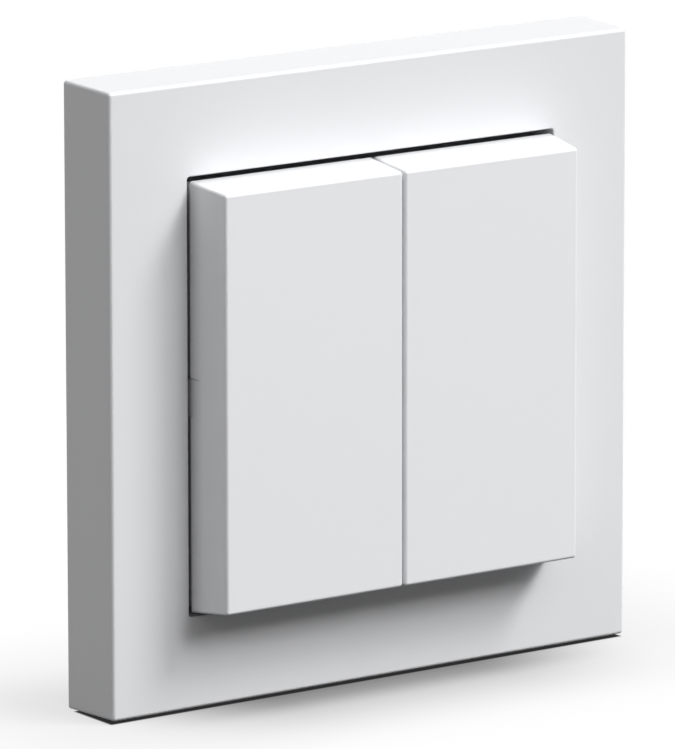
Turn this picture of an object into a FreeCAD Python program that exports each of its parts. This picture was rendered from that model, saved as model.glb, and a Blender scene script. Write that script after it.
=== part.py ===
"""Wireless wall switch: a square cover frame round two tall rockers, over a battery-free radio module.

Millimetres. +X is right, +Z is up and the front faces -Y. The wall is the plane y = 0, and the origin
is at the middle of the back of the wall plate. "Depth" below is the distance in front of the wall, so
a piece at depth 4 lies at y = -4.
"""
import FreeCAD, Part
import Sketcher
import math
import os
import re

DOCUMENT_NAME = "WallSwitch"

# Driving sizes: name, value in mm, what it is
SIZES = [
    ("frame_side", 80.0, "side of the cover frame at the wall"),
    ("frame_depth", 9.64, "depth of the front of the cover frame"),
    ("frame_draft", 0.25, "how far each side leans in from back to front"),
    ("frame_edge_radius", 0.45, "round corners and front edge of the cover frame"),
    ("frame_front_wall", 2.0, "thickness of its front"),
    ("frame_side_wall", 2.3, "thickness of its sides"),
    ("frame_rib", 1.2, "thickness of the ribs from its collar to its sides"),
    ("frame_rib_spacing", 18.0, "distance between those ribs"),
    ("frame_rib_back", 3.4, "depth of the back edge of those ribs"),
    ("opening_width", 56.4, "opening for the rockers"),
    ("opening_height", 56.0, "opening for the rockers"),
    ("opening_corner_radius", 0.45, "its corners"),
    ("opening_edge_radius", 0.2, "its front edge"),
    ("collar_wall", 1.8, "collar round the opening"),
    ("lip_reach", 1.5, "how far the clamped lip of the collar reaches in"),
    ("lip_thickness", 1.2, "thickness of that lip"),
    ("plate_room", 2.5, "room round the wall plate in the cover frame"),
    ("plate_thickness", 1.6, "thickness of the wall plate"),
    ("plate_corner_radius", 3.0, "corners of the wall plate"),
    ("window_play", 0.8, "room round the radio module in the wall plate"),
    ("screw_spacing", 60.0, "distance between the screw slots, both ways"),
    ("screw_slot_length", 7.0, "end to end length of a screw slot"),
    ("screw_slot_width", 3.6, "width of a screw slot"),
    ("support_height", 1.2, "blocks on the wall plate that carry the lip"),
    ("support_length", 5.0, "length of those blocks"),
    ("support_width", 2.4, "width of those blocks"),
    ("support_offset", 9.0, "distance of those blocks from the middle of their side"),
    ("pad_side", 11.0, "side of an adhesive pad"),
    ("pad_rim", 1.9, "rim of the wall plate outside an adhesive pad"),
    ("pad_thickness", 0.8, "thickness of an adhesive pad and depth of its recess"),
    ("pad_play", 0.1, "room round an adhesive pad"),
    ("flange_thickness", 1.2, "flange of the retaining frame"),
    ("flange_play", 0.4, "room between the flange and the opening"),
    ("sleeve_wall", 1.2, "sleeve of the retaining frame round the module"),
    ("sleeve_front", 8.2, "depth of the front of that sleeve"),
    ("sleeve_back", 2.8, "depth of the back of that sleeve"),
    ("hook_to_pad", 4.3, "distance from a hook to an adhesive pad, across"),
    ("hook_width", 4.0, "width of a hook"),
    ("hook_thickness", 1.2, "thickness of its leg"),
    ("hook_reach", 0.6, "how far its head reaches out"),
    ("hook_room", 1.3, "room between a hook's head and the lip of the cover frame"),
    ("hook_head", 0.7, "thickness of its head"),
    ("hook_play", 0.2, "room round a hook"),
    ("module_side", 40.0, "side of the radio module"),
    ("module_back", 0.8, "depth of its back"),
    ("module_split", 6.7, "depth of the joint between tray and lid"),
    ("module_front", 10.6, "depth of its front"),
    ("module_wall", 1.2, "thickness of its sides"),
    ("module_floor", 1.0, "thickness of its back and front"),
    ("module_corner_radius", 1.5, "its corners"),
    ("module_play", 0.2, "room round the module in its sleeve"),
    ("lug_width", 4.0, "snap lugs on the tray"),
    ("lug_reach", 0.8, "how far a lug stands out"),
    ("lug_offset", 8.0, "distance of a lug from the middle"),
    ("lug_height", 0.8, "size of a lug along the depth"),
    ("lug_back", 4.4, "depth of the back of a lug"),
    ("post_side", 2.0, "posts in the tray that carry the board"),
    ("board_play", 0.4, "room round the circuit board in the tray"),
    ("board_thickness", 1.0, "thickness of the circuit board"),
    ("mat_inset", 1.9, "distance from the edge of the board to the silicone mat"),
    ("mat_thickness", 0.7, "thickness of the mat's sheet"),
    ("dome_inset", 4.0, "distance from the edge of the mat to the middle of a dome"),
    ("dome_radius", 1.6, "radius of a dome"),
    ("dome_height", 1.7, "height of a dome above the sheet"),
    ("dome_edge_radius", 0.5, "round edge of a dome"),
    ("dome_play", 0.4, "room round a dome in the lid"),
    ("pill_radius", 1.3, "conductive pill in a dome"),
    ("pill_thickness", 0.25, "thickness of a pill"),
    ("pill_recess", 0.5, "depth of the recess for a pill"),
    ("contact_thickness", 0.05, "plated contact on the board"),
    ("pivot_depth", 12.7, "depth of the axis on which the rockers tilt"),
    ("pivot_pin_radius", 0.8, "pins that carry the rockers"),
    ("pivot_pin_length", 1.7, "how far a pin stands out of its post"),
    ("pivot_play", 0.05, "running room round a pin"),
    ("pivot_post_radius", 1.3, "round top of a bearing post"),
    ("pivot_post_width", 1.6, "width of a bearing post"),
    ("post_inset", 1.8, "distance from the module's side to the middle of an outer post"),
    ("ear_radius", 1.5, "round end of a rocker's ear"),
    ("ear_width", 1.4, "width of an ear"),
    ("ear_play", 0.15, "room between an ear and its post"),
    ("ear_mouth", 1.2, "snap mouth of an ear"),
    ("rocker_stand_out", 6.7, "how far the rockers stand out of the cover frame"),
    ("rocker_side_gap", 0.325, "gap beside the rockers, at the front of the cover frame"),
    ("rocker_end_gap", 0.565, "gap above and below the rockers, at the same place"),
    ("rocker_draft", 0.8, "how far each outer wall leans in from there to the front"),
    ("rocker_edge_radius", 0.42, "other round edges of a rocker"),
    ("rocker_front_wall", 1.7, "thickness of its front"),
    ("rocker_side_wall", 1.5, "thickness of its walls"),
    ("seam_gap", 0.35, "gap between the two rockers"),
    ("seam_edge_radius", 0.4, "round edges of the rockers at the gap"),
    ("seam_wall", 1.2, "thickness of the wall beside the gap"),
    ("seam_wall_depth", 2.6, "how far that wall reaches back from the front's inside"),
    ("seam_notch", 6.0, "notch in that wall round the middle post"),
    ("skirt_room", 2.1, "room behind a rocker's skirt, for its tilt"),
    ("skirt_step", 0.5, "how far a rocker's skirt is set in, behind the front of the cover frame"),
    ("notch_height", 4.9, "shallow notch in a rocker's outer wall, to prise it off"),
    ("notch_depth", 0.12, "depth of the notch at the front of the cover frame"),
    ("notch_reach", 2.4, "how far the notch runs out in front of the cover frame"),
    ("guide_depth", 1.1, "how far the guide behind the notch reaches back beside the skirt"),
    ("rib_width", 1.2, "stiffening ribs inside a rocker"),
    ("rib_depth", 1.6, "how far those ribs reach back"),
    ("rib_offset", 8.0, "height of those ribs above and below the axis"),
    ("press_radius", 1.0, "peg in a rocker that presses a dome"),
    ("press_room", 0.3, "room between a peg and its dome at rest"),
    ("bow_thickness", 0.4, "sheet of the energy bow"),
    ("bow_depth", 5.9, "depth of the back of the bow's cross bar"),
    ("bow_width", 3.0, "width of the cross bar and the uprights"),
    ("bow_play", 0.35, "room between the bow and the module's sides"),
    ("bow_head_inset", 4.0, "distance from the end of the module to the end of a press bar"),
    ("bow_head_play", 1.3, "room past the ends of a press bar in the sleeve"),
    ("bow_head_width", 1.85, "width of a press bar"),
    ("bow_travel", 0.9, "room behind the cross bar in the tray's slots"),
    ("bow_room", 0.35, "room between the bow and a rocker's lug at rest"),
    ("press_lug_width", 1.2, "lug in a rocker that presses the bow"),
    ("press_lug_inset", 0.5, "distance from the end of a press bar to that lug"),
    ("press_lug_length", 2.0, "length of that lug"),
    ("armature_depth", 5.0, "depth of the middle of the armature"),
    ("armature_thickness", 1.2, "thickness of the armature"),
    ("armature_width", 6.0, "width of the armature"),
    ("yoke_wall_room", 0.1, "room between the yoke and the lower wall of the tray"),
    ("armature_tip", 1.2, "distance of its tip above the middle"),
    ("armature_knuckle", 1.1, "radius of the knuckle round its pin"),
    ("armature_pin_radius", 0.5, "pin of the armature"),
    ("pole_bow_room", 0.9, "room between the pole plates and the bow's cross bar, up"),
    ("bobbin_start", 1.6, "distance from the armature's pivot to the bobbin"),
    ("bobbin_wall", 0.4, "wall of the bobbin's tube"),
    ("bobbin_flange", 0.7, "thickness of its flanges"),
    ("bobbin_flange_width", 11.2, "width of its flanges"),
    ("bobbin_room", 0.3, "room beside the armature in the bobbin"),
    ("armature_room_front", 0.25, "room in front of the armature in the bobbin"),
    ("armature_room_back", 0.75, "room behind the armature in the bobbin"),
    ("winding_width", 10.4, "width of the copper winding"),
    ("winding_depth", 5.2, "size of the winding along the depth"),
    ("winding_radius", 1.2, "round corners of the winding"),
    ("bobbin_clear", 0.3, "room between the bobbin and the board"),
    ("terminal_radius", 0.3, "coil terminal pins"),
    ("terminal_offset", 4.6, "distance of a terminal from the middle"),
    ("terminal_play", 0.1, "room round a terminal in the board"),
    ("pole_thickness", 0.8, "pole plates"),
    ("pole_length", 2.8, "length of a pole plate and its magnets"),
    ("pole_start", 0.4, "distance from the bobbin to the pole plates"),
    ("pole_width", 13.6, "width of a pole plate"),
    ("pole_room", 0.3, "room between the armature at rest and the front pole plate"),
    ("magnet_width", 2.8, "width of a magnet"),
    ("magnet_depth", 2.3, "distance between the pole plates"),
    ("yoke_sheet", 0.8, "sheet of the yoke"),
    ("yoke_back", 3.4, "depth of the back edge of the yoke"),
    ("yoke_height", 3.0, "size of the yoke along the depth"),
    ("yoke_clear", 0.2, "room between the yoke and the armature's knuckle"),
    ("yoke_play", 0.02, "room round the pin in the yoke"),
    ("spring_radius", 1.1, "armature spring, middle of its wire"),
    ("spring_wire", 0.25, "diameter of its wire"),
    ("spring_turns", 3.0, "number of its turns"),
    ("spring_below", 0.5, "distance of the spring below the middle"),
    ("spring_play", 0.03, "room at each end of the spring"),
    ("shield_side", 9.0, "side of the shielded radio"),
    ("shield_height", 1.6, "height of the shielded radio"),
    ("chip_side", 5.0, "side of the microcontroller"),
    ("chip_height", 0.9, "height of the microcontroller"),
    ("capacitor_radius", 2.0, "radius of a storage capacitor"),
    ("capacitor_height", 4.5, "height of a storage capacitor"),
    ("resistor_length", 1.6, "length of a chip resistor"),
    ("resistor_width", 0.8, "width of a chip resistor"),
    ("resistor_pitch", 2.4, "distance between chip resistors"),
    ("shield_edge_radius", 0.4, "round edge of the shielded radio"),
    ("shield_left", 14.0, "distance of the shield's left side from the middle"),
    ("antenna_room", 2.5, "distance from the antenna wire to the larger parts on the board"),
    ("chip_left", -2.5, "place of the microcontroller's left side"),
    ("rectifier_width", 4.0, "width of the rectifier"),
    ("rectifier_length", 3.0, "length of the rectifier"),
    ("crystal_length", 3.2, "length of the crystal"),
    ("crystal_width", 2.5, "width of the crystal"),
    ("crystal_height", 0.8, "height of the crystal"),
    ("capacitor_across", 12.5, "place of the capacitors across"),
    ("capacitor_pitch", 5.0, "distance between the capacitors"),
    ("antenna_radius", 0.3, "radius of the antenna wire"),
    ("antenna_inset", 1.4, "distance of the antenna wire from the board's edge"),
    ("antenna_end", 6.4, "distance from the board's side to the antenna wire"),
    ("antenna_drop", 1.2, "how far it hangs off the board"),
]

# Places worked out from the driving sizes, as depths in front of the wall and half sizes
PLACES = [
    ("plate_side", "frame_side - 2 * (frame_side_wall + plate_room)"),
    ("plate_window", "module_side + 2 * window_play"),
    ("pad_offset", "plate_side / 2 - pad_side / 2 - pad_rim"),
    ("hook_offset", "pad_offset - pad_side / 2 - hook_to_pad - hook_width / 2"),
    ("hook_height", "opening_height / 2 - lip_reach - hook_room - hook_reach - hook_thickness / 2"),
    ("rocker_pair_width", "opening_width - 2 * rocker_side_gap"),
    ("rocker_pair_height", "opening_height - 2 * rocker_end_gap"),
    ("outer_post_middle", "module_side / 2 - post_inset"),
    ("board_side", "module_side - 2 * (module_wall + board_play)"),
    ("mat_side", "board_side - 2 * mat_inset"),
    ("dome_spacing", "mat_side - 2 * dome_inset"),
    ("parts_up", "board_side / 2 - antenna_inset - antenna_room - shield_side"),
    ("antenna_length", "board_side - 2 * antenna_end"),
    ("bow_head_length", "module_side - 2 * bow_head_inset"),
    ("sleeve_gap", "bow_head_length + 2 * bow_head_play"),
    ("press_lug_height", "bow_head_length / 2 - press_lug_inset - press_lug_length / 2"),
    ("lip_back", "plate_thickness + support_height"),
    ("lip_front", "lip_back + lip_thickness"),
    ("flange_front", "lip_front + flange_thickness"),
    ("skirt_back", "flange_front + skirt_room"),
    ("hook_tip", "hook_play / 2"),
    ("hook_ledge", "hook_head + hook_play"),
    ("rocker_front", "frame_depth + rocker_stand_out"),
    ("rocker_inside", "rocker_front - rocker_front_wall"),
    ("module_inside", "module_side / 2 - module_wall"),
    ("module_floor_top", "module_back + module_floor"),
    ("mat_front", "module_front - module_floor"),
    ("mat_back", "mat_front - mat_thickness"),
    ("board_back", "mat_back - board_thickness"),
    ("sleeve_inside", "module_side / 2 + module_play"),
    ("dome_tip", "mat_front + dome_height"),
    ("bow_front", "module_front"),
    ("bow_side", "module_side / 2 + bow_play"),
    ("armature_back", "armature_depth - armature_thickness / 2"),
    ("armature_face", "armature_depth + armature_thickness / 2"),
    ("yoke_bottom", "yoke_wall_room - module_inside"),
    ("armature_pivot", "-(yoke_bottom + yoke_sheet + yoke_clear + armature_knuckle)"),
    ("pole_top", "-(bow_width / 2 + pole_bow_room)"),
    ("pole_bottom", "pole_top - pole_length"),
    ("bobbin_bottom", "bobbin_start - armature_pivot"),
    ("bobbin_top", "pole_bottom - pole_start"),
    ("terminal_up", "bobbin_top - bobbin_flange / 2"),
    ("pole_face", "armature_face + pole_room"),
    ("pole_bed", "pole_face - magnet_depth - pole_thickness"),
]

# Places nearer than this are the same place
NEAR = 1e-4

# How many small parts are on the board
RESISTORS = 8
CAPACITORS = 2

doc = FreeCAD.newDocument(DOCUMENT_NAME)
pieces = []

SHEET_NAMES = {
    "Sizes": {row[0] for row in SIZES},
    "Places": {row[0] for row in PLACES},
}


def fill_sheet(name, cells):
    """A sheet with one named cell for each alias and content."""
    sheet = doc.addObject("Spreadsheet::Sheet", name)
    for number, (alias, content) in enumerate(cells, start=1):
        sheet.set(f"A{number}", alias)
        sheet.set(f"B{number}", content)
        sheet.setAlias(f"B{number}", alias)
    return sheet


def linked(expression, *sheets):
    """An expression in plain names, with each name pointed at its sheet."""
    def point(found):
        for sheet in sheets or SHEET_NAMES:
            if found.group() in SHEET_NAMES[sheet]:
                return f"{sheet}.{found.group()}"
        return found.group()
    return re.sub(r"[a-z_]\w*", point, str(expression))


def bind(target, name, expression):
    """Tie a property to an expression in the sheets' names."""
    target.setExpression(name, linked(expression))


def value(expression):
    """The number that an expression gives."""
    return float(places.evalExpression(linked(expression)))


def keep(piece, label):
    """Name a finished piece, which gets a file of its own."""
    piece.Label = label
    pieces.append(piece)
    return piece


def block(name, across, depth, up):
    """A box from low to high across, in depth in front of the wall, and up."""
    box = doc.addObject("Part::Box", name)
    bind(box, "Length", f"({across[1]}) - ({across[0]})")
    bind(box, "Width", f"({depth[1]}) - ({depth[0]})")
    bind(box, "Height", f"({up[1]}) - ({up[0]})")
    bind(box, "Placement.Base.x", across[0])
    bind(box, "Placement.Base.y", f"-({depth[1]})")
    bind(box, "Placement.Base.z", up[0])
    return box


def middle_block(name, width, depth, height):
    """A box with its middle on the axis that stands out of the wall."""
    return block(
        name,
        (f"-({width}) / 2", f"({width}) / 2"),
        depth,
        (f"-({height}) / 2", f"({height}) / 2"),
    )


def tapered_block(name, front, back, front_across, front_up, back_across, back_up):
    """A block between two depths, with its own outline at each."""
    wedge = doc.addObject("Part::Wedge", name)
    bind(wedge, "Ymin", f"-({front})")
    bind(wedge, "Ymax", f"-({back})")
    for label, (low, high) in {"X": front_across, "Z": front_up}.items():
        bind(wedge, label + "min", low)
        bind(wedge, label + "max", high)
    for label, (low, high) in {"X2": back_across, "Z2": back_up}.items():
        bind(wedge, label + "min", low)
        bind(wedge, label + "max", high)
    return wedge


TURNS = {
    "across": FreeCAD.Rotation(FreeCAD.Vector(0, 1, 0), 90),
    "out": FreeCAD.Rotation(FreeCAD.Vector(1, 0, 0), 90),
    "up": FreeCAD.Rotation(),
}


def rod(name, direction, radius, start, length):
    """A cylinder from a start (across, depth, up), along a direction."""
    cylinder = doc.addObject("Part::Cylinder", name)
    bind(cylinder, "Radius", radius)
    bind(cylinder, "Height", length)
    cylinder.Placement = FreeCAD.Placement(FreeCAD.Vector(), TURNS[direction])
    bind(cylinder, "Placement.Base.x", start[0])
    bind(cylinder, "Placement.Base.y", f"-({start[1]})")
    bind(cylinder, "Placement.Base.z", start[2])
    return cylinder


def joined(name, shapes):
    """One solid of several that meet."""
    fusion = doc.addObject("Part::MultiFuse", name)
    fusion.Shapes = shapes
    fusion.Refine = True
    return fusion


def cut(name, base, tools):
    """A base with tools taken out of it."""
    tool = tools[0] if len(tools) == 1 else joined(name + "_tools", tools)
    result = doc.addObject("Part::Cut", name)
    result.Base, result.Tool = base, tool
    result.Refine = True
    return result


def group(name, shapes):
    """Several separate solids in one node."""
    compound = doc.addObject("Part::Compound", name)
    compound.Links = shapes
    return compound


def edges_where(feature, test):
    """The numbers of a feature's edges that pass a test."""
    doc.recompute()
    numbers = [number for number, edge in enumerate(feature.Shape.Edges, start=1) if test(edge)]
    if not numbers:
        raise ValueError(f"{feature.Name} has no such edge")
    return numbers


def is_near(one, other):
    return abs(one - other) < NEAR


def at_depth(edge, depth):
    """True for an edge that lies parallel to the wall at a depth."""
    return all(is_near(-vertex.Y, value(depth)) for vertex in edge.Vertexes)


def goes_out(edge):
    """True for an edge that runs out from the wall."""
    return abs(edge.lastVertex().Y - edge.firstVertex().Y) > edge.Length / 2


def goes_up(edge):
    """True for an edge that runs up."""
    return abs(edge.lastVertex().Z - edge.firstVertex().Z) > edge.Length / 2


def is_within(edge, width, height):
    """True for an edge inside a rectangle about the axis that stands out of the wall."""
    reach, rise = value(width) / 2 + NEAR, value(height) / 2 + NEAR
    return all(abs(vertex.X) < reach and abs(vertex.Z) < rise for vertex in edge.Vertexes)


def rounded(name, base, *roundings):
    """A base with edges rounded: each rounding is a radius and a test of an edge."""
    fillet = doc.addObject("Part::Fillet", name)
    fillet.Base = base
    fillet.Edges = [
        (number, value(radius), value(radius))
        for radius, test in roundings
        for number in edges_where(base, test)
    ]
    return fillet


def rounded_block(name, width, depth, height, radius):
    """A middle block with its four edges along the depth rounded."""
    return rounded(name, middle_block(name + "_block", width, depth, height), (radius, goes_out))


def new_body(name):
    return doc.addObject("PartDesign::Body", name)


def new_sketch(body, name, depth):
    """A sketch parallel to the wall at a depth. Its X is across and its Y is up."""
    sketch = body.newObject("Sketcher::SketchObject", name)
    plane = next(item for item in body.Origin.OriginFeatures if item.Role == "XZ_Plane")
    sketch.AttachmentSupport = (plane, "")
    sketch.MapMode = "FlatFace"
    bind(sketch, "AttachmentOffset.Base.z", depth)
    return sketch


def size_constraint(sketch, expression, kind, *points):
    """A distance in a sketch, tied to an expression."""
    number = sketch.addConstraint(Sketcher.Constraint(kind, *points, value(expression)))
    bind(sketch, f"Constraints[{number}]", expression)


def add_rectangle(sketch, width, height, corner=None):
    """A rectangle about the sketch's middle, or with its lower left corner at (across, up)."""
    wide, high = value(width), value(height)
    left, low = [value(place) for place in corner] if corner else (-wide / 2, -high / 2)
    points = [
        FreeCAD.Vector(left, low),
        FreeCAD.Vector(left + wide, low),
        FreeCAD.Vector(left + wide, low + high),
        FreeCAD.Vector(left, low + high),
    ]
    first = sketch.GeometryCount
    sketch.addGeometry([Part.LineSegment(points[i], points[(i + 1) % 4]) for i in range(4)], False)
    for i in range(4):
        sketch.addConstraint(
            Sketcher.Constraint("Coincident", first + i, 2, first + (i + 1) % 4, 1)
        )
        direction = "Vertical" if i % 2 else "Horizontal"
        sketch.addConstraint(Sketcher.Constraint(direction, first + i))
    if corner:
        size_constraint(sketch, corner[0], "DistanceX", -1, 1, first, 1)
        size_constraint(sketch, corner[1], "DistanceY", -1, 1, first, 1)
    else:
        sketch.addConstraint(Sketcher.Constraint("Symmetric", first, 1, first + 2, 1, -1, 1))
    size_constraint(sketch, width, "DistanceX", first, 1, first, 2)
    size_constraint(sketch, height, "DistanceY", first + 1, 1, first + 1, 2)


def add_slot(sketch, middle, length, width):
    """A slot along X, with its middle on the sketch's X axis."""
    radius = value(width) / 2
    near = value(f"{middle} - {length} / 2 + {width} / 2")
    far = value(f"{middle} + {length} / 2 - {width} / 2")
    normal = FreeCAD.Vector(0, 0, 1)
    near_circle = Part.Circle(FreeCAD.Vector(near, 0), normal, radius)
    far_circle = Part.Circle(FreeCAD.Vector(far, 0), normal, radius)
    quarter = math.pi / 2
    sketch.addGeometry(
        [
            Part.ArcOfCircle(near_circle, quarter, 3 * quarter),
            Part.ArcOfCircle(far_circle, -quarter, quarter),
            Part.LineSegment(FreeCAD.Vector(near, radius), FreeCAD.Vector(far, radius)),
            Part.LineSegment(FreeCAD.Vector(far, -radius), FreeCAD.Vector(near, -radius)),
        ],
        False,
    )
    for ends in ((0, 1, 2, 1), (0, 2, 3, 2), (1, 1, 3, 1), (1, 2, 2, 2)):
        sketch.addConstraint(Sketcher.Constraint("Tangent", *ends))
    sketch.addConstraint(Sketcher.Constraint("PointOnObject", 0, 3, -1))
    sketch.addConstraint(Sketcher.Constraint("PointOnObject", 1, 3, -1))
    size_constraint(sketch, f"{width} / 2", "Radius", 0)
    size_constraint(sketch, f"{middle} - {length} / 2 + {width} / 2", "DistanceX", -1, 1, 0, 3)
    size_constraint(sketch, f"{middle} + {length} / 2 - {width} / 2", "DistanceX", -1, 1, 1, 3)


def add_feature(body, kind, name, sketch, length):
    """A pad towards the front, or a pocket towards the wall."""
    feature = body.newObject("PartDesign::" + kind, name)
    feature.Profile = sketch
    bind(feature, "Length", length)
    sketch.Visibility = False
    return feature


def round_edges(body, name, feature, radius, test):
    """A fillet on the body's newest feature, on the edges that pass a test."""
    numbers = edges_where(feature, test)
    fillet = body.newObject("PartDesign::Fillet", name)
    fillet.Base = (feature, [f"Edge{number}" for number in numbers])
    bind(fillet, "Radius", radius)
    return fillet


def turn_about_axis(body, name, features, copies):
    """Copies of features, turned about the axis that stands out of the wall."""
    doc.recompute()
    pattern = body.newObject("PartDesign::PolarPattern", name)
    pattern.Originals = features
    axis = next(item for item in body.Origin.OriginFeatures if item.Role == "Y_Axis")
    pattern.Axis = (axis, [""])
    pattern.Angle = 360
    pattern.Occurrences = copies
    body.Tip = pattern
    return pattern


def outer_frame():
    """The cover frame: leaning sides, a hollow back, and a collar with the lip that is clamped."""
    body = new_body("outer_frame")
    outline = new_sketch(body, "frame_outline", "0")
    add_rectangle(outline, "frame_side", "frame_side")
    outer = add_feature(body, "Pad", "frame_block", outline, "frame_depth")
    bind(outer, "TaperAngle", "-atan(frame_draft / frame_depth)")
    round_edges(
        body, "frame_edges", outer, "frame_edge_radius",
        lambda edge: at_depth(edge, "frame_depth") or goes_out(edge),
    )

    opening = new_sketch(body, "opening_outline", "frame_depth")
    add_rectangle(opening, "opening_width", "opening_height")
    hole = add_feature(body, "Pocket", "opening", opening, "frame_depth - lip_front")
    corners = round_edges(
        body, "opening_corners", hole, "opening_corner_radius",
        lambda edge: goes_out(edge) and is_within(edge, "opening_width", "opening_height"),
    )
    round_edges(
        body, "opening_edge", corners, "opening_edge_radius",
        lambda edge: (
            at_depth(edge, "frame_depth") and is_within(edge, "opening_width", "opening_height")
        ),
    )

    lip = new_sketch(body, "lip_outline", "lip_front")
    add_rectangle(lip, "opening_width - 2 * lip_reach", "opening_height - 2 * lip_reach")
    add_feature(body, "Pocket", "lip_opening", lip, "lip_front")

    hollow = new_sketch(body, "hollow_outline", "frame_depth - frame_front_wall")
    inner_side = "frame_side - 2 * frame_side_wall"
    collar_width = "opening_width + 2 * collar_wall"
    collar_height = "opening_height + 2 * collar_wall"
    add_rectangle(hollow, inner_side, inner_side)
    add_rectangle(hollow, collar_width, collar_height)
    add_feature(body, "Pocket", "hollow", hollow, "frame_depth - frame_front_wall")

    collar_back = new_sketch(body, "collar_back_outline", "lip_back")
    add_rectangle(collar_back, collar_width, collar_height)
    add_feature(body, "Pocket", "collar_back", collar_back, "lip_back")

    ribs = new_sketch(body, "rib_outlines", "frame_rib_back")
    side_start = "opening_width / 2 + collar_wall / 2"
    end_start = "opening_height / 2 + collar_wall / 2"
    rib_end = "frame_side / 2 - frame_side_wall / 2"
    for place in ("-frame_rib_spacing", "0", "frame_rib_spacing"):
        low = f"{place} - frame_rib / 2"
        add_rectangle(ribs, "frame_rib", f"{rib_end} - ({end_start})", (low, end_start))
        add_rectangle(ribs, f"{rib_end} - ({side_start})", "frame_rib", (side_start, low))
    rib_depth = "frame_depth - frame_front_wall / 2 - frame_rib_back"
    pads = add_feature(body, "Pad", "ribs", ribs, rib_depth)
    turn_about_axis(body, "ribs_all_round", [pads], 2)
    keep(body, "outer_frame")


def wall_plate():
    """The plate on the wall: window, radial screw slots, pad recesses, supports and hook slots."""
    body = new_body("wall_plate")
    outline = new_sketch(body, "plate_outline", "0")
    add_rectangle(outline, "plate_side", "plate_side")
    plate = add_feature(body, "Pad", "plate_block", outline, "plate_thickness")
    round_edges(body, "plate_corners", plate, "plate_corner_radius", goes_out)
    window = new_sketch(body, "plate_window_outline", "plate_thickness")
    add_rectangle(window, "plate_window", "plate_window")
    add_feature(body, "Pocket", "plate_window_cut", window, "plate_thickness")

    slot = new_sketch(body, "screw_slot_outline", "plate_thickness")
    add_slot(slot, "screw_spacing / 2", "screw_slot_length", "screw_slot_width")
    slot_cut = add_feature(body, "Pocket", "screw_slot", slot, "plate_thickness")
    turn_about_axis(body, "screw_slots", [slot_cut], 4)

    recess = new_sketch(body, "pad_recess_outline", "pad_thickness")
    recess_side = "pad_side + 2 * pad_play"
    recess_corner = f"pad_offset - ({recess_side}) / 2"
    add_rectangle(recess, recess_side, recess_side, (recess_corner, recess_corner))
    recess_cut = add_feature(body, "Pocket", "pad_recess", recess, "pad_thickness")
    turn_about_axis(body, "pad_recesses", [recess_cut], 4)

    support = new_sketch(body, "support_outlines", "plate_thickness")
    side_low = "opening_width / 2 + (collar_wall - lip_reach) / 2 - support_width / 2"
    end_low = "opening_height / 2 + (collar_wall - lip_reach) / 2 - support_width / 2"
    for place in ("-support_offset", "support_offset"):
        low = f"{place} - support_length / 2"
        add_rectangle(support, "support_length", "support_width", (low, end_low))
        add_rectangle(support, "support_width", "support_length", (side_low, low))
    support_pads = add_feature(body, "Pad", "supports", support, "support_height")
    turn_about_axis(body, "supports_all_round", [support_pads], 2)

    slots = new_sketch(body, "hook_slot_outlines", "plate_thickness")
    catches = new_sketch(body, "hook_catch_outlines", "hook_ledge")
    leg_low = "hook_height - hook_thickness / 2 - hook_play"
    slot_width = "hook_width + 2 * hook_play"
    slot_height = "hook_thickness + hook_reach + 2 * hook_play"
    catch_height = f"{slot_height} + hook_reach"
    for place in ("-hook_offset", "hook_offset"):
        corner = (f"{place} - ({slot_width}) / 2", leg_low)
        add_rectangle(slots, slot_width, slot_height, corner)
        add_rectangle(catches, slot_width, catch_height, corner)
    slot_cuts = add_feature(body, "Pocket", "hook_slots", slots, "plate_thickness")
    catch_cuts = add_feature(body, "Pocket", "hook_catches", catches, "hook_ledge")
    turn_about_axis(body, "hooks_both_sides", [slot_cuts, catch_cuts], 2)
    keep(body, "wall_plate")


def adhesive_pads():
    """Four foam pads, flush with the back of the wall plate."""
    low, high = "pad_offset - pad_side / 2", "pad_offset + pad_side / 2"
    pads = []
    for side, across in {"left": (f"-({high})", f"-({low})"), "right": (low, high)}.items():
        for end, up in {"lower": (f"-({high})", f"-({low})"), "upper": (low, high)}.items():
            pads.append(block(f"pad_{end}_{side}", across, ("0", "pad_thickness"), up))
    keep(group("adhesive_pads", pads), "adhesive_pads")


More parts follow.
